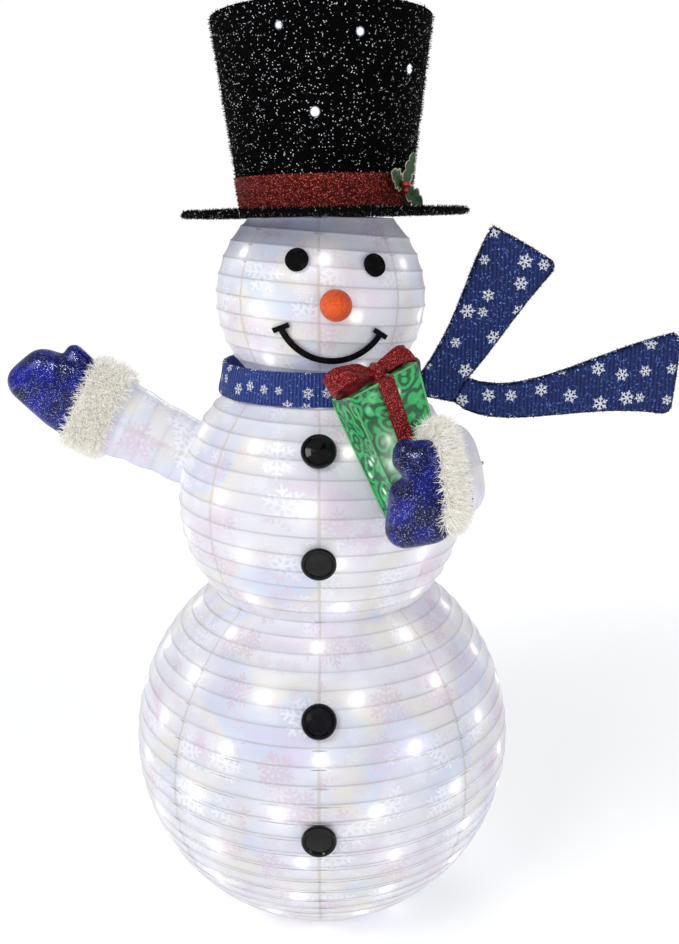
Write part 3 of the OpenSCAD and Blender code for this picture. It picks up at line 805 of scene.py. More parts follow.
def tube(name: str, path: Array, radius: float, sides: int = 8,
         closed: bool = False) -> bpy.types.Object:
    """A round tube along a path, capped where it is open.

    Args:
        name: the piece's name.
        path: its centre line.
        radius: its radius.
        sides: faces round it.
        closed: whether it is a loop.

    Returns:
        The piece.
    """
    first, second = frames(path, closed)
    if closed:
        path, first, second = (np.vstack([a, a[:1]]) for a in (path, first, second))
    count = len(path) - 1

    def place(across: Array, along: Array) -> Array:
        """Wraps the grid round the path."""
        row = np.rint(along * count).astype(int)
        angle = across * 2 * math.pi
        shrink = np.where((not closed) & ((row == 0) | (row == count)), 0.0, radius)[:, None]
        ring = np.cos(angle)[:, None] * first[row] + np.sin(angle)[:, None] * second[row]
        return path[row] + shrink * ring

    return surface(name, sides, count, place)


def scatter(piece: bpy.types.Object, count: int, random: np.random.Generator) -> tuple[Array, Array]:
    """Random places on a mesh, evenly by area.

    Args:
        piece: the mesh.
        count: how many.
        random: the random numbers.

    Returns:
        The places and the face normals there.
    """
    piece.data.calc_loop_triangles()
    corners = np.empty(len(piece.data.loop_triangles) * 3, np.int32)
    piece.data.loop_triangles.foreach_get("vertices", corners)
    corner = points(piece)[corners.reshape(-1, 3)]
    cross = np.cross(corner[:, 1] - corner[:, 0], corner[:, 2] - corner[:, 0])
    area = np.linalg.norm(cross, axis=1)
    chosen = random.choice(len(area), count, p=area / area.sum())
    a, b = random.random(count), random.random(count)
    a, b = np.where(a + b > 1, 1 - a, a), np.where(a + b > 1, 1 - b, b)
    c = corner[chosen]
    place = c[:, 0] + a[:, None] * (c[:, 1] - c[:, 0]) + b[:, None] * (c[:, 2] - c[:, 0])
    return place, cross[chosen] / area[chosen, None]


def unit(vectors: Array) -> Array:
    """Vectors at length one."""
    return vectors / np.maximum(np.linalg.norm(vectors, axis=1), 1e-12)[:, None]


def squared(wave: Array, power: float) -> Array:
    """A sine or cosine made fuller, which turns a round section into a squarer one.

    Args:
        wave: the sine or cosine.
        power: 1 leaves it round, and less makes it squarer.

    Returns:
        The fuller wave.
    """
    return np.sign(wave) * np.abs(wave) ** power


@dataclass
class Tinsel:
    """Cut foil or yarn strands that stand on a surface or round an edge."""

    length: float
    width: float
    spread: float = 0.9
    lean: tuple[float, float, float] = (0.0, 0.0, 0.0)
    seed: int = 1

    def on(self, name: str, place: Array, outward: Array, finish: Finish) -> bpy.types.Object:
        """Makes the strands.

        Args:
            name: the piece's name.
            place: where each is rooted.
            outward: the way each stands.
            finish: what they are made of.

        Returns:
            The piece.
        """
        random = np.random.default_rng(self.seed)
        count = len(place)
        way = unit(outward + self.spread * random.normal(size=(count, 3)) * 0.6 + np.array(self.lean))
        side = unit(np.cross(way, random.normal(size=(count, 3))))
        length = self.length * random.uniform(0.55, 1.0, count)[:, None]
        curl = unit(np.cross(way, side)) * length * random.uniform(-0.3, 0.3, count)[:, None]
        half = side * self.width / 2
        middle = place + way * length * 0.5 + curl * 0.6
        tip = place + way * length * 0.95
        rings = [place - half, place + half, middle - half, middle + half,
                 tip - half * 0.4, tip + half * 0.4]
        corners = np.stack(rings, 1).reshape(-1, 3)
        base = (np.arange(count) * 6)[:, None]
        faces = np.vstack([base + np.array([0, 1, 3, 2]), base + np.array([2, 3, 5, 4])])
        mesh = bpy.data.meshes.new(name)
        mesh.from_pydata(corners.tolist(), [], faces.tolist())
        piece = bpy.data.objects.new(name, mesh)
        bpy.context.scene.collection.objects.link(piece)
        store(piece, "tint", np.repeat(random.random(count), 6))
        finish.dress(piece)
        return piece

    def over(self, name: str, piece: bpy.types.Object, count: int, finish: Finish) -> bpy.types.Object:
        """Covers a mesh with strands."""
        random = np.random.default_rng(self.seed + 100)
        return self.on(name, *scatter(piece, count, random), finish)

    def along(self, name: str, path: Array, count: int, finish: Finish) -> bpy.types.Object:
        """Sets strands all round a closed edge.

        Args:
            name: the piece's name.
            path: the edge's points.
            count: how many strands.
            finish: what they are made of.

        Returns:
            The piece.
        """
        random = np.random.default_rng(self.seed + 200)
        ends = np.roll(path, -1, 0)
        step = np.linalg.norm(ends - path, axis=1)
        chosen = random.choice(len(path), count, p=step / step.sum())
        share = random.random(count)[:, None]
        place = path[chosen] * (1 - share) + ends[chosen] * share
        first, second = frames(path, True)
        angle = random.uniform(0, 2 * math.pi, count)[:, None]
        outward = np.cos(angle) * first[chosen] + np.sin(angle) * second[chosen]
        return self.on(name, place, outward, finish)


def outline(node: str) -> Array:
    """The closed outline of a flat node's front face, in order.

    Args:
        node: the CAD node, flat and facing -Y.

    Returns:
        Its corner points, on the node's middle plane.
    """
    piece = copy_of(node, "outline_work")
    low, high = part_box(node)
    mesh = piece.data
    front = [f for f in mesh.polygons if f.normal.y < -0.9]
    seen: dict[tuple[int, int], int] = {}
    for face in front:
        for edge in face.edge_keys:
            seen[edge] = seen.get(edge, 0) + 1
    follow: dict[int, list[int]] = {}
    for (a, b), times in seen.items():
        if times == 1:
            follow.setdefault(a, []).append(b)
            follow.setdefault(b, []).append(a)
    start = next(iter(follow))
    loop, last = [start], None
    while True:
        ahead = [v for v in follow[loop[-1]] if v != last]
        last = loop[-1]
        if not ahead or ahead[0] == start:
            break
        loop.append(ahead[0])
        if len(loop) > len(follow):
            break
    path = np.array([mesh.vertices[i].co for i in loop])
    path[:, 1] = (low.y + high.y) / 2
    bpy.data.objects.remove(piece)
    return path


def ripple(where: Array, waves: float, seed: int) -> Array:
    """Smooth random numbers about zero, from a few crossed waves.

    Args:
        where: the places.
        waves: waves per metre.
        seed: which set.

    Returns:
        One number a place, about -1 to 1.
    """
    random = np.random.default_rng(seed)
    total = np.zeros(len(where))
    for _ in range(7):
        way = random.normal(size=3)
        way *= waves * random.uniform(0.6, 1.6) * 2 * math.pi / np.linalg.norm(way)
        total += np.sin(where @ way + random.uniform(0, 6.28))
    return total / 4


CLOTH_VOXEL, CLOTH_PRESSURE, CLOTH_STEPS, CLOTH_CAP = 0.004, 4, 12, 0.005
SWELL, SEAM_RISE, SEAM_WIDTH, CREASE_DEPTH = 0.0015, 0.0012, 0.16, 0.0012


def stuffed(node: str, name: str) -> bpy.types.Object:
    """A stuffed cloth form of two panels that fills the space of a CAD solid.

    Args:
        node: the CAD solid, which lies flat to Y.
        name: the piece's name.

    Returns:
        The piece.
    """
    piece = copy_of(node, name)
    modify(piece, "REMESH", mode="VOXEL", voxel_size=CLOTH_VOXEL)
    modify(piece, "SMOOTH", factor=0.5, iterations=10)
    rest = points(piece)
    pick(piece)
    cloth = piece.modifiers.new("Cloth", "CLOTH")
    cloth.settings.use_pressure = True
    cloth.settings.uniform_pressure_force = CLOTH_PRESSURE
    cloth.settings.effector_weights.gravity = 0
    for step in range(1, CLOTH_STEPS + 1):
        bpy.context.scene.frame_set(step)
    bpy.ops.object.modifier_apply(modifier=cloth.name)
    moved = points(piece) - rest
    length = np.linalg.norm(moved, axis=1)[:, None]
    put_points(piece, rest + moved * np.minimum(1, CLOTH_CAP / np.maximum(length, 1e-9)))
    bpy.context.scene.frame_set(1)
    modify(piece, "SMOOTH", factor=0.5, iterations=3)
    where, outward = points(piece), normals(piece)
    seam = np.exp(-((outward[:, 1] / SEAM_WIDTH) ** 2))
    creases = np.maximum(ripple(where, 13.0, 5), 0) * CREASE_DEPTH
    put_points(piece, where + outward * (SWELL + seam * SEAM_RISE - creases)[:, None])
    modify(piece, "SUBSURF", levels=1, render_levels=1)
    pick(piece)
    bpy.ops.object.shade_smooth()
    return piece


def clusters(piece: bpy.types.Object, reach: float) -> Array:
    """The centres of small separate solids in one mesh.

    Args:
        piece: the mesh.
        reach: more than a solid's width, less than their spacing.

    Returns:
        The centres.
    """
    left, found = points(piece), []
    while len(left):
        near = np.linalg.norm(left - left[0], axis=1) < reach
        found.append(left[near].mean(0))
        left = left[~near]
    return np.array(found)


def fit_ball(piece: bpy.types.Object) -> tuple[Array, float]:
    """The centre and outer radius of a ball of cloth.

    Args:
        piece: the CAD shell.

    Returns:
        Centre and radius.
    """
    where = points(piece)
    known = np.column_stack([2 * where, np.ones(len(where))])
    found = np.linalg.lstsq(known, (where ** 2).sum(1), rcond=None)[0]
    centre = found[:3]
    return centre, float(np.linalg.norm(where - centre, axis=1).max())


# ---- sub-assemblies ----


def rest_on_frame(piece: bpy.types.Object) -> None:
    """Fixes a piece to the root body, with a mesh of its own."""
    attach(piece, "root")
    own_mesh(piece)


@dataclass
class BallCover:
    """The sewn cloth of one ball, drawn in between its hoops."""

    name: str
    node: str
    bulbs: str
    hoops: int
    lean: float
    low_ring: float
    high_ring: float
    columns: int
    draw_in: float = 0.0017
    casing: float = 0.0007
    casing_width: float = 0.0026
    pucker: float = 0.0009
    pucker_width: float = 0.009
    slack: float = 0.0006
    inset: float = 0.0004
    hot_spot: float = 0.0085
    halo: float = 0.03
    gores: int = 8
    row_places: tuple[float, ...] = (0.0, 0.055, 0.12, 0.27, 0.5, 0.73, 0.88, 0.945)

    def share(self, along: Array) -> Array:
        """Packs the rows of a grid close to the hoops."""
        step = along * self.hoops
        whole = np.floor(step + 1e-6)
        even = np.arange(len(self.row_places) + 1) / len(self.row_places)
        return (whole + np.interp(step - whole, even, (*self.row_places, 1.0))) / self.hoops

    def build(self, flat: tuple[float, float], area: float) -> bpy.types.Object:
        """Builds the cover.

        Args:
            flat: width and length of the cloth as cut; not used.
            area: its flat area; not used.

        Returns:
            The piece.
        """
        centre, radius = fit_ball(frame["nodes"][self.node])
        low = math.asin((self.low_ring - centre[2]) / radius)
        high = math.asin((self.high_ring - centre[2]) / radius)
        count = self.hoops * len(self.row_places)
        pitch = radius * (high - low) / self.hoops

        def place(across: Array, along: Array) -> Array:
            """Wraps the grid round the ball, with its rows on the hoops."""
            turn = across * 2 * math.pi - math.pi / 2
            along = self.share(along)
            step = along * self.hoops
            lean = math.radians(self.lean) * np.clip(np.minimum(step, self.hoops - step), 0, 1)
            level = radius * np.sin(low + along * (high - low))
            a, b = np.cos(turn) * np.sin(lean), np.cos(lean)
            rise = np.arcsin(np.clip(level / radius / np.hypot(a, b), -1, 1)) - np.arctan2(a, b)
            part = step - np.floor(step + 1e-6)
            near = np.minimum(part, 1 - part)
            depth = self.draw_in * np.sin(np.clip(part, 0, 1) * math.pi) ** 0.8
            depth = depth - self.casing * np.exp(-((near * pitch / self.casing_width) ** 2))
            gore = across * self.gores
            flat = np.cos(rise)
            from_seam = np.abs(gore - np.rint(gore)) * 2 * math.pi * radius * flat / self.gores
            pucker = self.pucker * np.exp(-((from_seam / self.pucker_width) ** 2))
            spot = np.column_stack([np.cos(turn) * flat, np.sin(turn) * flat, np.sin(rise)])
            slack = self.slack * ripple(spot * radius * (1, 1, 0.5), 14.0, 3) * np.sin(part * math.pi)
            reach = radius - self.inset - depth - pucker + slack
            return centre + spot * reach[:, None]

        piece = surface(self.name, self.columns, count, place, centre)
        layer = piece.data.uv_layers.active.data
        flat_uv = np.empty(len(layer) * 2, np.float32)
        layer.foreach_get("uv", flat_uv)
        flat_uv[1::2] = self.share(flat_uv[1::2])
        layer.foreach_set("uv", flat_uv)
        where = points(piece)
        lamps = clusters(frame["nodes"][self.bulbs], 0.012)
        glow = np.zeros(len(where))
        random = np.random.default_rng(len(lamps))
        for lamp in lamps:
            away = np.linalg.norm(where - lamp, axis=1)
            power = random.uniform(0.75, 1.25)
            glow += power * (1.1 * np.exp(-((away / self.hot_spot) ** 2))
                             + 0.16 * np.exp(-((away / self.halo) ** 2)))
        store(piece, "glow", np.clip(glow, 0, 1.3))
        PearlCloth(self.name + "_cloth", self.gores, self.hoops, pitch,
                   2 * math.pi * radius * 0.9 / self.gores).dress(piece)
        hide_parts(self.node)
        rest_on_frame(piece)
        LOG.info("%s: %d hoop spaces, %d bulbs behind it", self.name, self.hoops, len(lamps))
        return piece


@dataclass
class Hat:
    """Top hat of black foil over a wire frame, with its band."""

    crown_strands: int = 26000
    brim_strands: int = 15000
    band_strands: int = 3500

    def build(self) -> None:
        """Covers the hat."""
        black = Strand("black_foil", (0.0005, 0.0005, 0.0007), (0.003, 0.003, 0.0035),
                       (0.62, 0.63, 0.68), 0.013, 0.0, 0.55, gloss=0.03)
        plain = Strand("brim_foil", (0.0005, 0.0005, 0.0007), (0.003, 0.003, 0.0035),
                       (0.35, 0.36, 0.40), 0.008, 0.0, 0.55, gloss=0.05)
        red = Strand("red_foil", (0.03, 0.001, 0.001), (0.26, 0.008, 0.006), (0.9, 0.16, 0.10),
                     0.12, 0.5, 0.35)
        nodes = frame["nodes"]
        crown = Tinsel(0.0058, 0.0010, 1.0, seed=3).over(
            "hat_crown_foil", nodes["hat_crown"], self.crown_strands, black)
        brim = Tinsel(0.0056, 0.0010, 1.0, seed=4).over(
            "hat_brim_foil", nodes["hat_brim"], self.brim_strands, plain)
        band = Tinsel(0.004, 0.0011, 0.8, seed=5).over(
            "hat_band_foil", nodes["hat_band"], self.band_strands, red)
        for piece, slot in ((crown, "hat_tinsel"), (brim, "hat_tinsel"), (band, "red_glitter")):
            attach(piece, "pole_top")
        Glitter("hat_cloth", (0.002, 0.002, 0.0025), (0.85, 0.86, 0.9), 780.0, 0.02,
                0.0, 0.65, gloss=0.03, lamps=1.0).dress(nodes["hat_crown"])
        Glitter("brim_cloth", (0.002, 0.002, 0.0025), (0.5, 0.51, 0.55), 780.0, 0.01,
                0.0, 0.65, gloss=0.05).dress(nodes["hat_brim"])
        Glitter("red_sequins", (0.15, 0.003, 0.003), (0.95, 0.16, 0.11), 900.0, 0.12,
                0.3, 0.4, gloss=0.3).dress(nodes["hat_band"])


@dataclass
class Holly:
    """Three cloth holly leaves on the hat band."""

    length: float = 0.056
    half_width: float = 0.017
    angles: tuple[float, ...] = (72.0, 158.0, -28.0)

    def build(self) -> None:
        """Builds the leaves and dresses the berries."""
        low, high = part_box("holly_berries")
        heart = np.array((low + high) / 2)
        hat_low, hat_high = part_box("hat_brim")
        axis = np.array((hat_low + hat_high) / 2)
        out = heart - axis
        out[2] = 0
        out /= np.linalg.norm(out)
        side = np.cross((0, 0, 1), out)
        up = np.array((0.0, 0.0, 1.0))
        leaves = []
        for number, angle in enumerate(self.angles):
            way = math.cos(math.radians(angle)) * side + math.sin(math.radians(angle)) * up
            wide = np.cross(out, way)

            def place(across: Array, along: Array, way: Array = way, wide: Array = wide) -> Array:
                """One leaf: pointed lobes, a fold down the middle and a curl."""
                s = across * 2 - 1
                swell = np.sin(math.pi * np.clip(along, 0, 1)) ** 0.7
                lobes = 0.62 + 0.38 * np.abs(np.cos(along * math.pi * 3.5)) ** 0.7
                half = self.half_width * swell * lobes
                lift = 0.006 * np.abs(s) * swell + 0.010 * along ** 2 - 0.003
                return (heart - out * 0.004 + along[:, None] * self.length * way
                        + (s * half)[:, None] * wide + lift[:, None] * out)

            leaves.append(surface(f"leaf_{number}", 12, 28, place, heart - out))
        piece = join("holly_leaf_cloth", leaves)
        modify(piece, "SOLIDIFY", thickness=0.0008, offset=1.0)
        Leaf("holly_cloth").dress(piece)
        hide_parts("holly_leaves")
        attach(piece, "pole_top")
        Gloss("berry_gloss", (0.55, 0.008, 0.01), 0.18, 0.8).dress(frame["nodes"]["holly_berries"])


@dataclass
class Scarf:
    """Stiff knitted collar and two wired tails with foil edges."""

    edge_strands: int = 3600
    thick: float = 0.008
    square: float = 0.45
    wave: float = 0.0012
    tail_voxel: float = 0.0045
    tail_wave: float = 0.0016
    edge_radius: float = 0.0028

    def build(self) -> None:
        """Builds the collar and the tails."""
        self.collar()
        for node, seed in (("scarf_tail_upper", 11), ("scarf_tail_lower", 12)):
            self.tail(node, seed)

    def collar(self) -> None:
        """Builds the collar as a padded band with rolled edges."""
        low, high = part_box("scarf_collar")
        node_points = points(frame["nodes"]["scarf_collar"])
        middle = np.array((low + high) / 2)
        height = high.z - low.z
        reach = np.hypot(node_points[:, 0] - middle[0], node_points[:, 1] - middle[1])
        base = reach[node_points[:, 2] < low.z + 0.2 * height].max()
        top = reach[node_points[:, 2] > high.z - 0.2 * height].max()

        def place(across: Array, along: Array) -> Array:
            """A rolled section carried round the neck."""
            turn = across * 2 * math.pi
            angle = along * 2 * math.pi
            side, rise = squared(np.cos(angle), self.square), squared(np.sin(angle), self.square)
            level = rise * height / 2
            out = (base + top) / 2 - self.thick / 2 + (top - base) / 2 * rise + side * self.thick / 2
            out = out + self.wave * np.sin(turn * 9 + rise * 2) * (side > 0)
            return np.column_stack([middle[0] + out * np.cos(turn), middle[1] + out * np.sin(turn),
                                    middle[2] + level])

        piece = surface("scarf_collar_knit", 320, 40, place)
        RibKnit("collar_knit", 0.0062, base, flake_gap=0.034,
                deep=(0.010, 0.018, 0.09), lit_crest=(0.035, 0.075, 0.34)).dress(piece)
        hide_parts("scarf_collar")
        turn = np.linspace(0, 2 * math.pi, 200, endpoint=False)
        edges = []
        for number, (radius, level) in enumerate(((top, high.z - 0.002), (base, low.z + 0.002))):
            path = np.column_stack([middle[0] + (radius - 0.004) * np.cos(turn),
                                    middle[1] + (radius - 0.004) * np.sin(turn), np.full(200, level)])
            edges.append(Tinsel(0.0044, 0.0009, 0.7, seed=20 + number).along(
                f"collar_edge_{number}", path, self.edge_strands, self.foil()))
        edge = join("scarf_collar_edge", edges)
        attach(piece, "neck")
        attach(edge, "neck")

    @staticmethod
    def foil() -> Finish:
        """The dark blue foil of the scarf's edges."""
        return Strand("blue_foil", (0.002, 0.003, 0.012), (0.006, 0.014, 0.09), (0.5, 0.6, 0.95), 0.07,
                      0.5, 0.35)

    def tail(self, node: str, seed: int) -> None:
        """Builds one tail as a padded panel with a foil edge.

        Args:
            node: its CAD node.
            seed: its random numbers.
        """
        low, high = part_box(node)
        middle = (low.y + high.y) / 2
        piece = copy_of(node, node + "_knit")
        modify(piece, "REMESH", mode="VOXEL", voxel_size=self.tail_voxel)
        modify(piece, "SMOOTH", factor=0.5, iterations=8)
        where = points(piece)
        where[:, 1] = middle + (where[:, 1] - middle) * 0.98
        where[:, 1] += self.tail_wave * ripple(where * (1, 0, 1), 6.0, seed)
        put_points(piece, where)
        RibKnit("tail_knit", 0.0066).dress(piece)
        pick(piece)
        bpy.ops.object.shade_smooth()
        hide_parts(node)
        path = outline(node)
        edge = Tinsel(0.0062, 0.0009, 0.7, seed=seed).along(node + "_edge", path, self.edge_strands,
                                                          self.foil())
        core = tube(node + "_edge_core", path, self.edge_radius, 8, True)
        Glitter("edge_core", (0.01, 0.02, 0.08), (0.5, 0.6, 0.9), 600.0, 0.1).dress(core)
        for part in (piece, edge, core):
            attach(part, "neck")


@dataclass
class Sleeve:
    """Cloth sleeve that runs from the middle ball to a cuff."""

    name: str
    node: str
    arm: str
    stations: Array
    flat: tuple[float, float]
    finish: Finish
    columns: int = 96
    rows: int = 60
    fold: float = 0.0011
    crease: float = 0.0014

    def build(self, hinge: Array, ball: tuple[Array, float]) -> bpy.types.Object:
        """Builds the sleeve.

        Args:
            hinge: the arm's hinge; not used.
            ball: centre and radius of the ball it leaves.

        Returns:
            The piece.
        """
        centre, radius = ball
        known = np.linspace(0, 1, len(self.stations))

        def at(along: Array, first: int, last: int) -> Array:
            """Some of a station's numbers at a share of the way."""
            return np.column_stack([np.interp(along, known, self.stations[:, i])
                                    for i in range(first, last)])

        def place(across: Array, along: Array) -> Array:
            """Carries the sleeve's section along its path."""
            spine, up, side = (at(along, i, i + 3) for i in (0, 3, 6))
            high, deep = at(along, 9, 11).T
            angle = across * 2 * math.pi
            fall = self.fold * np.sin(along * 22 + 1.5 * np.sin(angle)) * np.sin(math.pi * along)
            full, flank = squared(np.sin(angle), 0.8), squared(np.cos(angle), 0.8)
            where = (spine + (full * (high + fall))[:, None] * unit(up)
                     + (flank * (deep + fall))[:, None] * unit(side))
            out = unit(where - centre)
            inside = np.linalg.norm(where - centre, axis=1) - (radius - 0.004)
            start = np.clip(1 - along / 0.12, 0, 1)
            return where - out * (np.clip(inside, -0.02, 0.06) * start)[:, None]

        piece = surface(self.name, self.columns, self.rows, place)
        where = points(piece)
        put_points(piece, where + normals(piece) * (self.crease * ripple(where, 16.0, 9))[:, None])
        store(piece, "glow", np.zeros(len(where)))
        self.finish.dress(piece)
        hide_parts(self.node)
        way = self.stations[-1, :3] - self.stations[0, :3]
        way /= np.linalg.norm(way)
        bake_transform(piece)
        return piece


@dataclass
class Arm:
    """One arm: sleeve, fringed cuff and stuffed mitten."""

    name: str
    joint: str
    sleeve: str
    cuff: str
    mitten: str
    stations: Callable[[Array], Array]
    droop: tuple[float, float, float]
    strands: int = 15000
    flat: tuple[float, float] = (0.3, 0.2)
    notch: float = 0.0
    notch_size: float = 0.012
    bulge: float = 0.022

    def pinch(self, mitten: bpy.types.Object) -> None:
        """Draws the mitten in below its thumb, and lets the palm swell over the cuff."""
        low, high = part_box(self.mitten)
        tall = high.z - low.z
        fork = np.array((low.x + 0.010, low.z + 0.66 * tall))
        where = points(mitten)
        away = np.linalg.norm(where[:, [0, 2]] - fork, axis=1)
        where[:, 0] += self.notch * np.exp(-((away / self.notch_size) ** 2))
        palm = np.exp(-(((where[:, 2] - low.z - 0.34 * tall) / (0.30 * tall)) ** 2))
        right = np.clip((where[:, 0] - low.x) / (high.x - low.x), 0, 1)
        front = np.clip((high.y - where[:, 1]) / (high.y - low.y), 0, 1)
        where[:, 0] += self.bulge * palm * right * front
        where[:, 1] -= 0.45 * self.bulge * palm * right * front
        put_points(mitten, where)

    def build(self, ball: tuple[Array, float]) -> None:
        """Builds the arm.

        Args:
            ball: centre and radius of the ball it leaves.
        """
        joint = next(j for j in frame["joints"] if j["name"] == self.joint)
        hinge = np.array(joint["pos_m"])
        cloth = PearlCloth("sleeve_cloth", 2, 6.0, 0.03, 0.19, 0.12, 0.2)
        Sleeve(self.sleeve + "_cloth", self.sleeve, self.name, self.stations(hinge), self.flat,
               cloth).build(hinge, ball)
        # The cuff fringe glows faintly: painted light that lifts the shade among its strands.
        fringe = Tinsel(0.019, 0.0009, 1.2, self.droop, seed=31).over(
            self.cuff + "_fringe", frame["nodes"][self.cuff], self.strands,
            Strand("cuff_fringe", (0.80, 0.76, 0.68), (0.94, 0.92, 0.87), (1.0, 0.99, 0.97), 0.3,
                   0.0, 0.5, 0.10))
        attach(fringe, self.name)
        mitten = stuffed(self.mitten, self.mitten + "_satin")
        if self.notch:
            self.pinch(mitten)
        Satin("mitten_satin").dress(mitten)
        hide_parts(self.mitten)
        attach(mitten, self.name)
        LOG.info("%s built", self.name)


def waving_stations(hinge: Array) -> Array:
    """Sections of the waving sleeve, from inside the ball to the cuff.

    Args:
        hinge: the arm's hinge.

    Returns:
        One row a section: spine, up, side, half height, half depth.
    """
    low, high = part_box("waving_cuff")
    wrist = np.array((low + high) / 2)
    way = wrist - hinge
    way[1] = 0
    way /= np.linalg.norm(way)
    up = np.cross((0, 1, 0), way)
    up *= np.sign(up[2])
    side = np.array((0.0, 1.0, 0.0))
    reach = np.linalg.norm((wrist - hinge)[[0, 2]]) - 0.026
    rows = []
    for share, tall, deep in ((-0.35, 0.058, 0.034), (0.1, 0.058, 0.034), (0.5, 0.062, 0.035),
                              (0.85, 0.068, 0.036), (1.0, 0.071, 0.036)):
        rows.append([*(hinge + way * reach * share), *up, *side, tall, deep])
    return np.array(rows)


def gift_stations(hinge: Array) -> Array:
    """Sections of the sleeve that bends forward to the gift.

    Args:
        hinge: the arm's hinge.

    Returns:
        One row a section: spine, up, side, half height, half depth.
    """
    low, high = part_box("gift_cuff")
    wrist = np.array((low + high) / 2)
    elbow = np.array((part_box("gift_sleeve")[1].x - 0.030, hinge[1] - 0.095, hinge[2] + 0.024))
    start = hinge + np.array((-0.020, 0.014, 0.0))
    wrist = wrist + (elbow - wrist) / np.linalg.norm(elbow - wrist) * 0.012
    rows = []
    for t in np.linspace(0, 1, 13):
        spine = (1 - t) ** 2 * start + 2 * t * (1 - t) * elbow + t ** 2 * wrist
        ahead = 2 * (1 - t) * (elbow - start) + 2 * t * (wrist - elbow)
        ahead /= np.linalg.norm(ahead)
        roll = math.radians(26) * t
        flat = np.cross((0, 0, 1), ahead)
        flat /= np.linalg.norm(flat)
        up = np.cross(ahead, flat)
        turned = up * math.cos(roll) - flat * math.sin(roll)
        side = np.cross(ahead, turned)
        rows.append([*spine, *turned, *side, 0.050 + 0.022 * t, 0.026 + 0.008 * t])
    return np.array(rows)


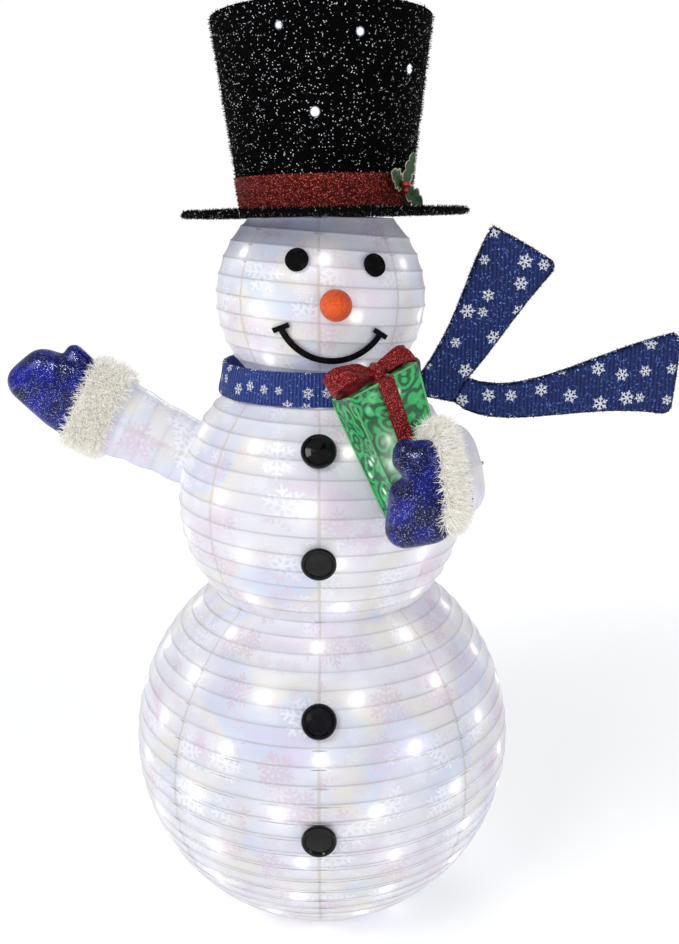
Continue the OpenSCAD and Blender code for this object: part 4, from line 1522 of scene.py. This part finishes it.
@dataclass
class Gift:
    """Film box over a wire frame, with glitter ribbon and a bow of two loops."""

    width: float = 0.117
    low_width: float = 0.074
    height: float = 0.225
    depth: float = 0.075
    lean: float = 24.5
    yaw: float = 25.0
    wire: float = 0.0017
    bow_rise: float = 0.013
    bow_width: float = 0.034
    bow_roll: float = math.radians(52)
    bow_ply: float = 0.0012
    film_cuts: int = 28
    film_inset: float = 0.0006
    film_lamps: int = 9

    def __post_init__(self) -> None:
        """Finds the box's corner from the CAD box."""
        a, b = math.radians(-self.lean), math.radians(self.yaw)
        lean = np.array([[math.cos(a), 0, math.sin(a)], [0, 1, 0], [-math.sin(a), 0, math.cos(a)]])
        yaw = np.array([[math.cos(b), -math.sin(b), 0], [math.sin(b), math.cos(b), 0], [0, 0, 1]])
        self.turn = lean @ yaw
        corners = self.corners() @ self.turn.T
        self.corner = np.array(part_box("gift_box")[0]) - corners.min(0)

    def corners(self) -> Array:
        """The box's eight corners in its own frame."""
        found = []
        for z, width in ((0.0, self.width), (-self.height, self.low_width)):
            found += [(x, y, z) for x in (0.0, width) for y in (0.0, self.depth)]
        return np.array(found)

    def put(self, local: Array) -> Array:
        """Moves points from the box's frame into place."""
        return local @ self.turn.T + self.corner

    def build(self) -> None:
        """Builds the film, its wires, the ribbon and the bow."""
        self.film()
        self.wires()
        Glitter("ribbon_glitter", (0.24, 0.003, 0.006), (0.95, 0.16, 0.14), 1100.0, 0.12,
                0.25, 0.4, 0.5, gloss=0.3).dress(frame["nodes"]["gift_ribbon"])
        self.bow()

    def film(self) -> None:
        """Builds the film, drawn in a little between its wires."""
        bpy.ops.object.select_all(action="DESELECT")
        bpy.ops.mesh.primitive_cube_add(size=2)
        piece = bpy.context.object
        piece.name = piece.data.name = "gift_film"
        bpy.ops.object.mode_set(mode="EDIT")
        bpy.ops.mesh.select_all(action="SELECT")
        bpy.ops.mesh.subdivide(number_cuts=self.film_cuts)
        bpy.ops.object.mode_set(mode="OBJECT")
        unit_cube = points(piece)
        a, b, c = ((unit_cube + 1) / 2).T
        face = np.abs(unit_cube) > 0.9999
        dips = [np.sin(math.pi * p) * np.sin(math.pi * q) for p, q in ((b, c), (a, c), (a, b))]
        slack = 0.0016 + 0.0012 * ripple(unit_cube, 0.8, 2)
        push = np.column_stack([-np.sign(unit_cube[:, i]) * face[:, i] * dips[i] * slack
                                for i in range(3)])
        width = self.low_width + (self.width - self.low_width) * c
        inset = self.film_inset
        local = np.column_stack([inset + a * (width - 2 * inset), inset + b * (self.depth - 2 * inset),
                                 -inset - (1 - c) * (self.height - 2 * inset)]) + push
        put_points(piece, self.put(local))
        random = np.random.default_rng(8)
        glow = np.zeros(len(local))
        for _ in range(self.film_lamps):
            lamp = np.array([random.uniform(0.1, 0.9) * self.low_width,
                             -0.002 + 0.079 * random.integers(0, 2),
                             -random.uniform(0.08, 0.95) * self.height])
            away = np.linalg.norm(local - lamp, axis=1)
            glow += np.exp(-((away / 0.006) ** 2)) + 0.3 * np.exp(-((away / 0.02) ** 2))
        store(piece, "glow", np.clip(glow, 0, 1.2))
        pick(piece)
        bpy.ops.object.shade_smooth_by_angle(angle=math.radians(40))
        SwirlFilm("swirl_film").dress(piece)
        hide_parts("gift_box")
        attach(piece, "gift_arm")

    def wires(self) -> None:
        """Builds the twelve bound edges."""
        corners = self.put(self.corners())
        edges = [(i, j) for i in range(8) for j in range(i + 1, 8) if bin(i ^ j).count("1") == 1]
        tubes = []
        for number, (i, j) in enumerate(edges):
            share = np.linspace(0, 1, 12)[:, None]
            path = corners[i] * (1 - share) + corners[j] * share
            tubes.append(tube(f"wire_{number}", path, self.wire, 8))
        piece = join("gift_edge_binding", tubes)
        Gloss("edge_binding", (0.10, 0.42, 0.14), 0.3, 0.2).dress(piece)
        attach(piece, "gift_arm")

    def bow(self) -> None:
        """Builds two ribbon loops and the knot between them."""
        heart = np.array((self.width * 0.5 + 0.009, self.depth / 2, self.bow_rise))
        loops = []
        for number, (angle, length, full) in enumerate(((168.0, 0.078, 0.025), (-4.0, 0.060, 0.015))):
            tilt = math.radians(angle)

            def place(across: Array, along: Array, tilt: float = tilt, length: float = length,
                      full: float = full) -> Array:
                """A teardrop loop of ribbon that pinches at the knot."""
                t = along * 2 * math.pi
                far = length * (1 - np.cos(t)) / 2 + 0.006
                rise = full * np.sin(t) * np.sin(t / 2)
                wide = self.bow_width * (0.45 + 0.55 * np.sin(t / 2))
                crown = 0.0015 * np.cos((across - 0.5) * math.pi * 2)
                ruffle = 0.0012 * np.sin(along * 30 + across * 5)
                x = far * math.cos(tilt) - (rise + crown + ruffle) * math.sin(tilt)
                z = far * math.sin(tilt) + (rise + crown + ruffle) * math.cos(tilt)
                y = (across - 0.5) * wide
                return self.put(self.rolled(np.column_stack([x, y, z])) + heart)

            inside = 0.6 * length * np.array([[math.cos(tilt), 0, math.sin(tilt)]])
            loops.append(surface(f"loop_{number}", 14, 64, place, self.put(inside + heart)[0]))
        piece = join("gift_bow_loops", loops)
        lining = Satin("bow_satin", (0.10, 0.002, 0.006), (0.45, 0.02, 0.03), (0.9, 0.4, 0.4), 0.03)
        Glitter("ribbon_glitter").dress(piece)
        piece.data.materials.append(lining.make())
        modify(piece, "SOLIDIFY", thickness=self.bow_ply, offset=-1.0, material_offset=1)
        knot = self.knot(heart)
        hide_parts("gift_bow")
        for part in (piece, knot):
            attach(part, "gift_arm")

    def rolled(self, local: Array) -> Array:
        """Turns the bow about its own length, so that its loops open towards the front."""
        c, s = math.cos(self.bow_roll), math.sin(self.bow_roll)
        return np.column_stack([local[:, 0], c * local[:, 1] - s * local[:, 2],
                                s * local[:, 1] + c * local[:, 2]])

    def knot(self, heart: Array) -> bpy.types.Object:
        """Builds the puffed knot, a short gathered sleeve of ribbon."""
        def place(across: Array, along: Array) -> Array:
            """A short gathered sleeve of ribbon."""
            angle = across * 2 * math.pi
            s = along * 2 - 1
            half = 0.011 * np.sqrt(np.clip(1 - np.abs(s) ** 3, 0, 1)) + 0.0008 * np.sin(angle * 6)
            half = np.where((along < 1e-6) | (along > 1 - 1e-6), 0.0, half)
            ring = np.column_stack([half * np.cos(angle), s * 0.018, half * 1.6 * np.sin(angle)])
            return self.put(ring + heart - (0, 0, 0.006))

        piece = surface("gift_bow_knot", 36, 24, place)
        Glitter("ribbon_glitter").dress(piece)
        return piece


@dataclass
class Works:
    """Everything that keeps its CAD shape: wires, pole, base, lights, face and buttons."""

    def dress(self) -> None:
        """Gives each node its finish."""
        nodes = frame["nodes"]
        plain = {
            Metal("hoop_wire"): [n for n in nodes if "hoop" in n or "rib_wires" in n or n in (
                "waist_ring", "neck_ring", "head_top_ring", "waving_arm_wire", "gift_arm_wire",
                "hat_frame", "shoulder_brackets", "top_spider")],
            Metal("pole_tube", (0.70, 0.71, 0.72), 1.0, 0.22): [
                "pole_lower_tube", "pole_middle_tube", "pole_upper_tube"],
            Metal("base_paint", (0.05, 0.055, 0.06), 0.2, 0.45): ["base_stand", "pole_socket"],
            Gloss("lock_plastic", (0.02, 0.02, 0.022), 0.35, 0.2): [
                "lock_collar_lower", "lock_collar_upper"],
            Gloss("button_gloss", (0.0015, 0.0015, 0.002), 0.08, 0.3, gloss=0.15): [
                n for n in nodes if n.startswith("button_")],
            Gloss("felt_black", (0.002, 0.002, 0.0025), 0.7, 0.0, gloss=0.08): ["eyes", "mouth"],
            Glitter("nose_glitter", (1.0, 0.10, 0.004), (1.0, 0.26, 0.06), 1000.0, 0.10,
                    0.0, 0.45, 0.8): ["nose"],
            Gloss("light_lead", (0.75, 0.76, 0.74), 0.4, 0.2): [n for n in nodes if "light_wire" in n],
            Gloss("bulb_lit", (1.0, 0.95, 0.86), 0.1, 1.0, 2.0): [
                n for n in nodes if n.endswith("bulbs")],
            Strand("cuff_ground", (0.7, 0.66, 0.58), (0.8, 0.77, 0.7), (0.9, 0.88, 0.84), 0.3,
                   0.0, 0.6): ["waving_cuff", "gift_cuff"],
        }
        for finish, names in plain.items():
            finish.dress(*(nodes[n] for n in names))
        for name in nodes:
            if "rib_wires" in name or "light_wire" in name or name.endswith("bulbs"):
                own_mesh(nodes[name])


@dataclass
class Studio:
    """Pale floor, soft lights and the camera."""

    camera_place: tuple[float, float, float] = (0.0316, -1.6504, 1.2062)
    camera_tip: float = 75.8
    lens: float = 36.84

    def build(self) -> None:
        """Sets the stage."""
        scene = bpy.context.scene
        scene.view_settings.view_transform = "Standard"
        bpy.ops.object.select_all(action="DESELECT")
        bpy.ops.mesh.primitive_plane_add(size=14)
        floor = bpy.context.object
        floor.name = "studio_floor"
        StudioFloor("floor_paint").dress(floor)
        world = bpy.data.worlds.new("studio")
        scene.world = world
        world.use_nodes = True
        self.sky(world.node_tree)
        self.light("key_softbox", (-1.7, -2.1, 2.7), 1.5, 46.0)
        self.light("fill_softbox", (2.4, -1.6, 1.5), 1.6, 12.0)
        self.light("back_softbox", (0.4, 2.6, 2.6), 1.8, 30.0)
        data = bpy.data.cameras.new("camera")
        data.lens, data.sensor_width = self.lens, 36.0
        camera = bpy.data.objects.new("camera", data)
        scene.collection.objects.link(camera)
        camera.location = self.camera_place
        camera.rotation_euler = (math.radians(self.camera_tip), 0.0, 0.0)
        scene.camera = camera

    @staticmethod
    def sky(tree: bpy.types.NodeTree) -> None:
        """Lights the stage evenly, with a plain white wall behind it."""
        ground = tree.nodes["Background"]
        ground.inputs[0].default_value, ground.inputs[1].default_value = (0.95, 0.97, 1.0, 1.0), 0.42
        wall = tree.nodes.new("ShaderNodeBackground")
        wall.inputs[0].default_value, wall.inputs[1].default_value = (1.0, 1.0, 1.0, 1.0), 1.0
        path, mix = tree.nodes.new("ShaderNodeLightPath"), tree.nodes.new("ShaderNodeMixShader")
        tree.links.new(path.outputs["Is Camera Ray"], mix.inputs[0])
        tree.links.new(ground.outputs[0], mix.inputs[1])
        tree.links.new(wall.outputs[0], mix.inputs[2])
        tree.links.new(mix.outputs[0], tree.nodes["World Output"].inputs[0])

    @staticmethod
    def light(name: str, place: tuple[float, float, float], size: float, power: float) -> None:
        """Adds a soft square light aimed at the middle of the snowman.

        Args:
            name: its name.
            place: where it stands.
            size: its side.
            power: its watts.
        """
        data = bpy.data.lights.new(name, "AREA")
        data.size, data.energy = size, power
        lamp = bpy.data.objects.new(name, data)
        bpy.context.scene.collection.objects.link(lamp)
        lamp.location = place
        aim = Vector((0.0, 0.0, 0.75)) - Vector(place)
        lamp.rotation_euler = aim.to_track_quat("-Z", "Y").to_euler()


def covers() -> tuple[BallCover, ...]:
    """The three ball covers, with their rings read from the CAD."""
    waist = sum(c.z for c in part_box("waist_ring")) / 2
    neck = sum(c.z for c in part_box("neck_ring")) / 2
    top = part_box("head_fabric")[1].z
    return (
        BallCover("bottom_cover", "bottom_fabric", "bottom_bulbs", 24, 0.0,
                  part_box("bottom_fabric")[0].z, waist, 336),
        BallCover("middle_cover", "middle_fabric", "middle_bulbs", 15, 1.7, waist, neck, 264),
        BallCover("head_cover", "head_fabric", "head_bulbs", 10, 4.2, neck, top, 216),
    )


def main() -> None:
    """Builds every sub-assembly in order."""
    logging.basicConfig(level=logging.INFO, format="%(name)s: %(message)s")
    Studio().build()
    Works().dress()
    cuts = (((2.14, 0.73), 1.25), ((1.57, 0.43), 0.60), ((1.11, 0.29), 0.28))
    for cover, (flat, area) in zip(covers(), cuts):
        cover.build(flat, area)
    ball = fit_ball(frame["nodes"]["middle_fabric"])
    Hat().build()
    Holly().build()
    Scarf().build()
    Arm("waving_arm", "waving_arm_lift", "waving_sleeve", "waving_cuff", "waving_mitten",
        waving_stations, (0.25, 0.0, -0.2), flat=(0.35, 0.17)).build(ball)
    Arm("gift_arm", "gift_arm_swing", "gift_sleeve", "gift_cuff", "gift_mitten",
        gift_stations, (0.95, 0.1, -0.45), 12000, flat=(0.31, 0.22),
        notch=0.011).build(ball)
    Gift().build()


if __name__ == "__main__":
    main()
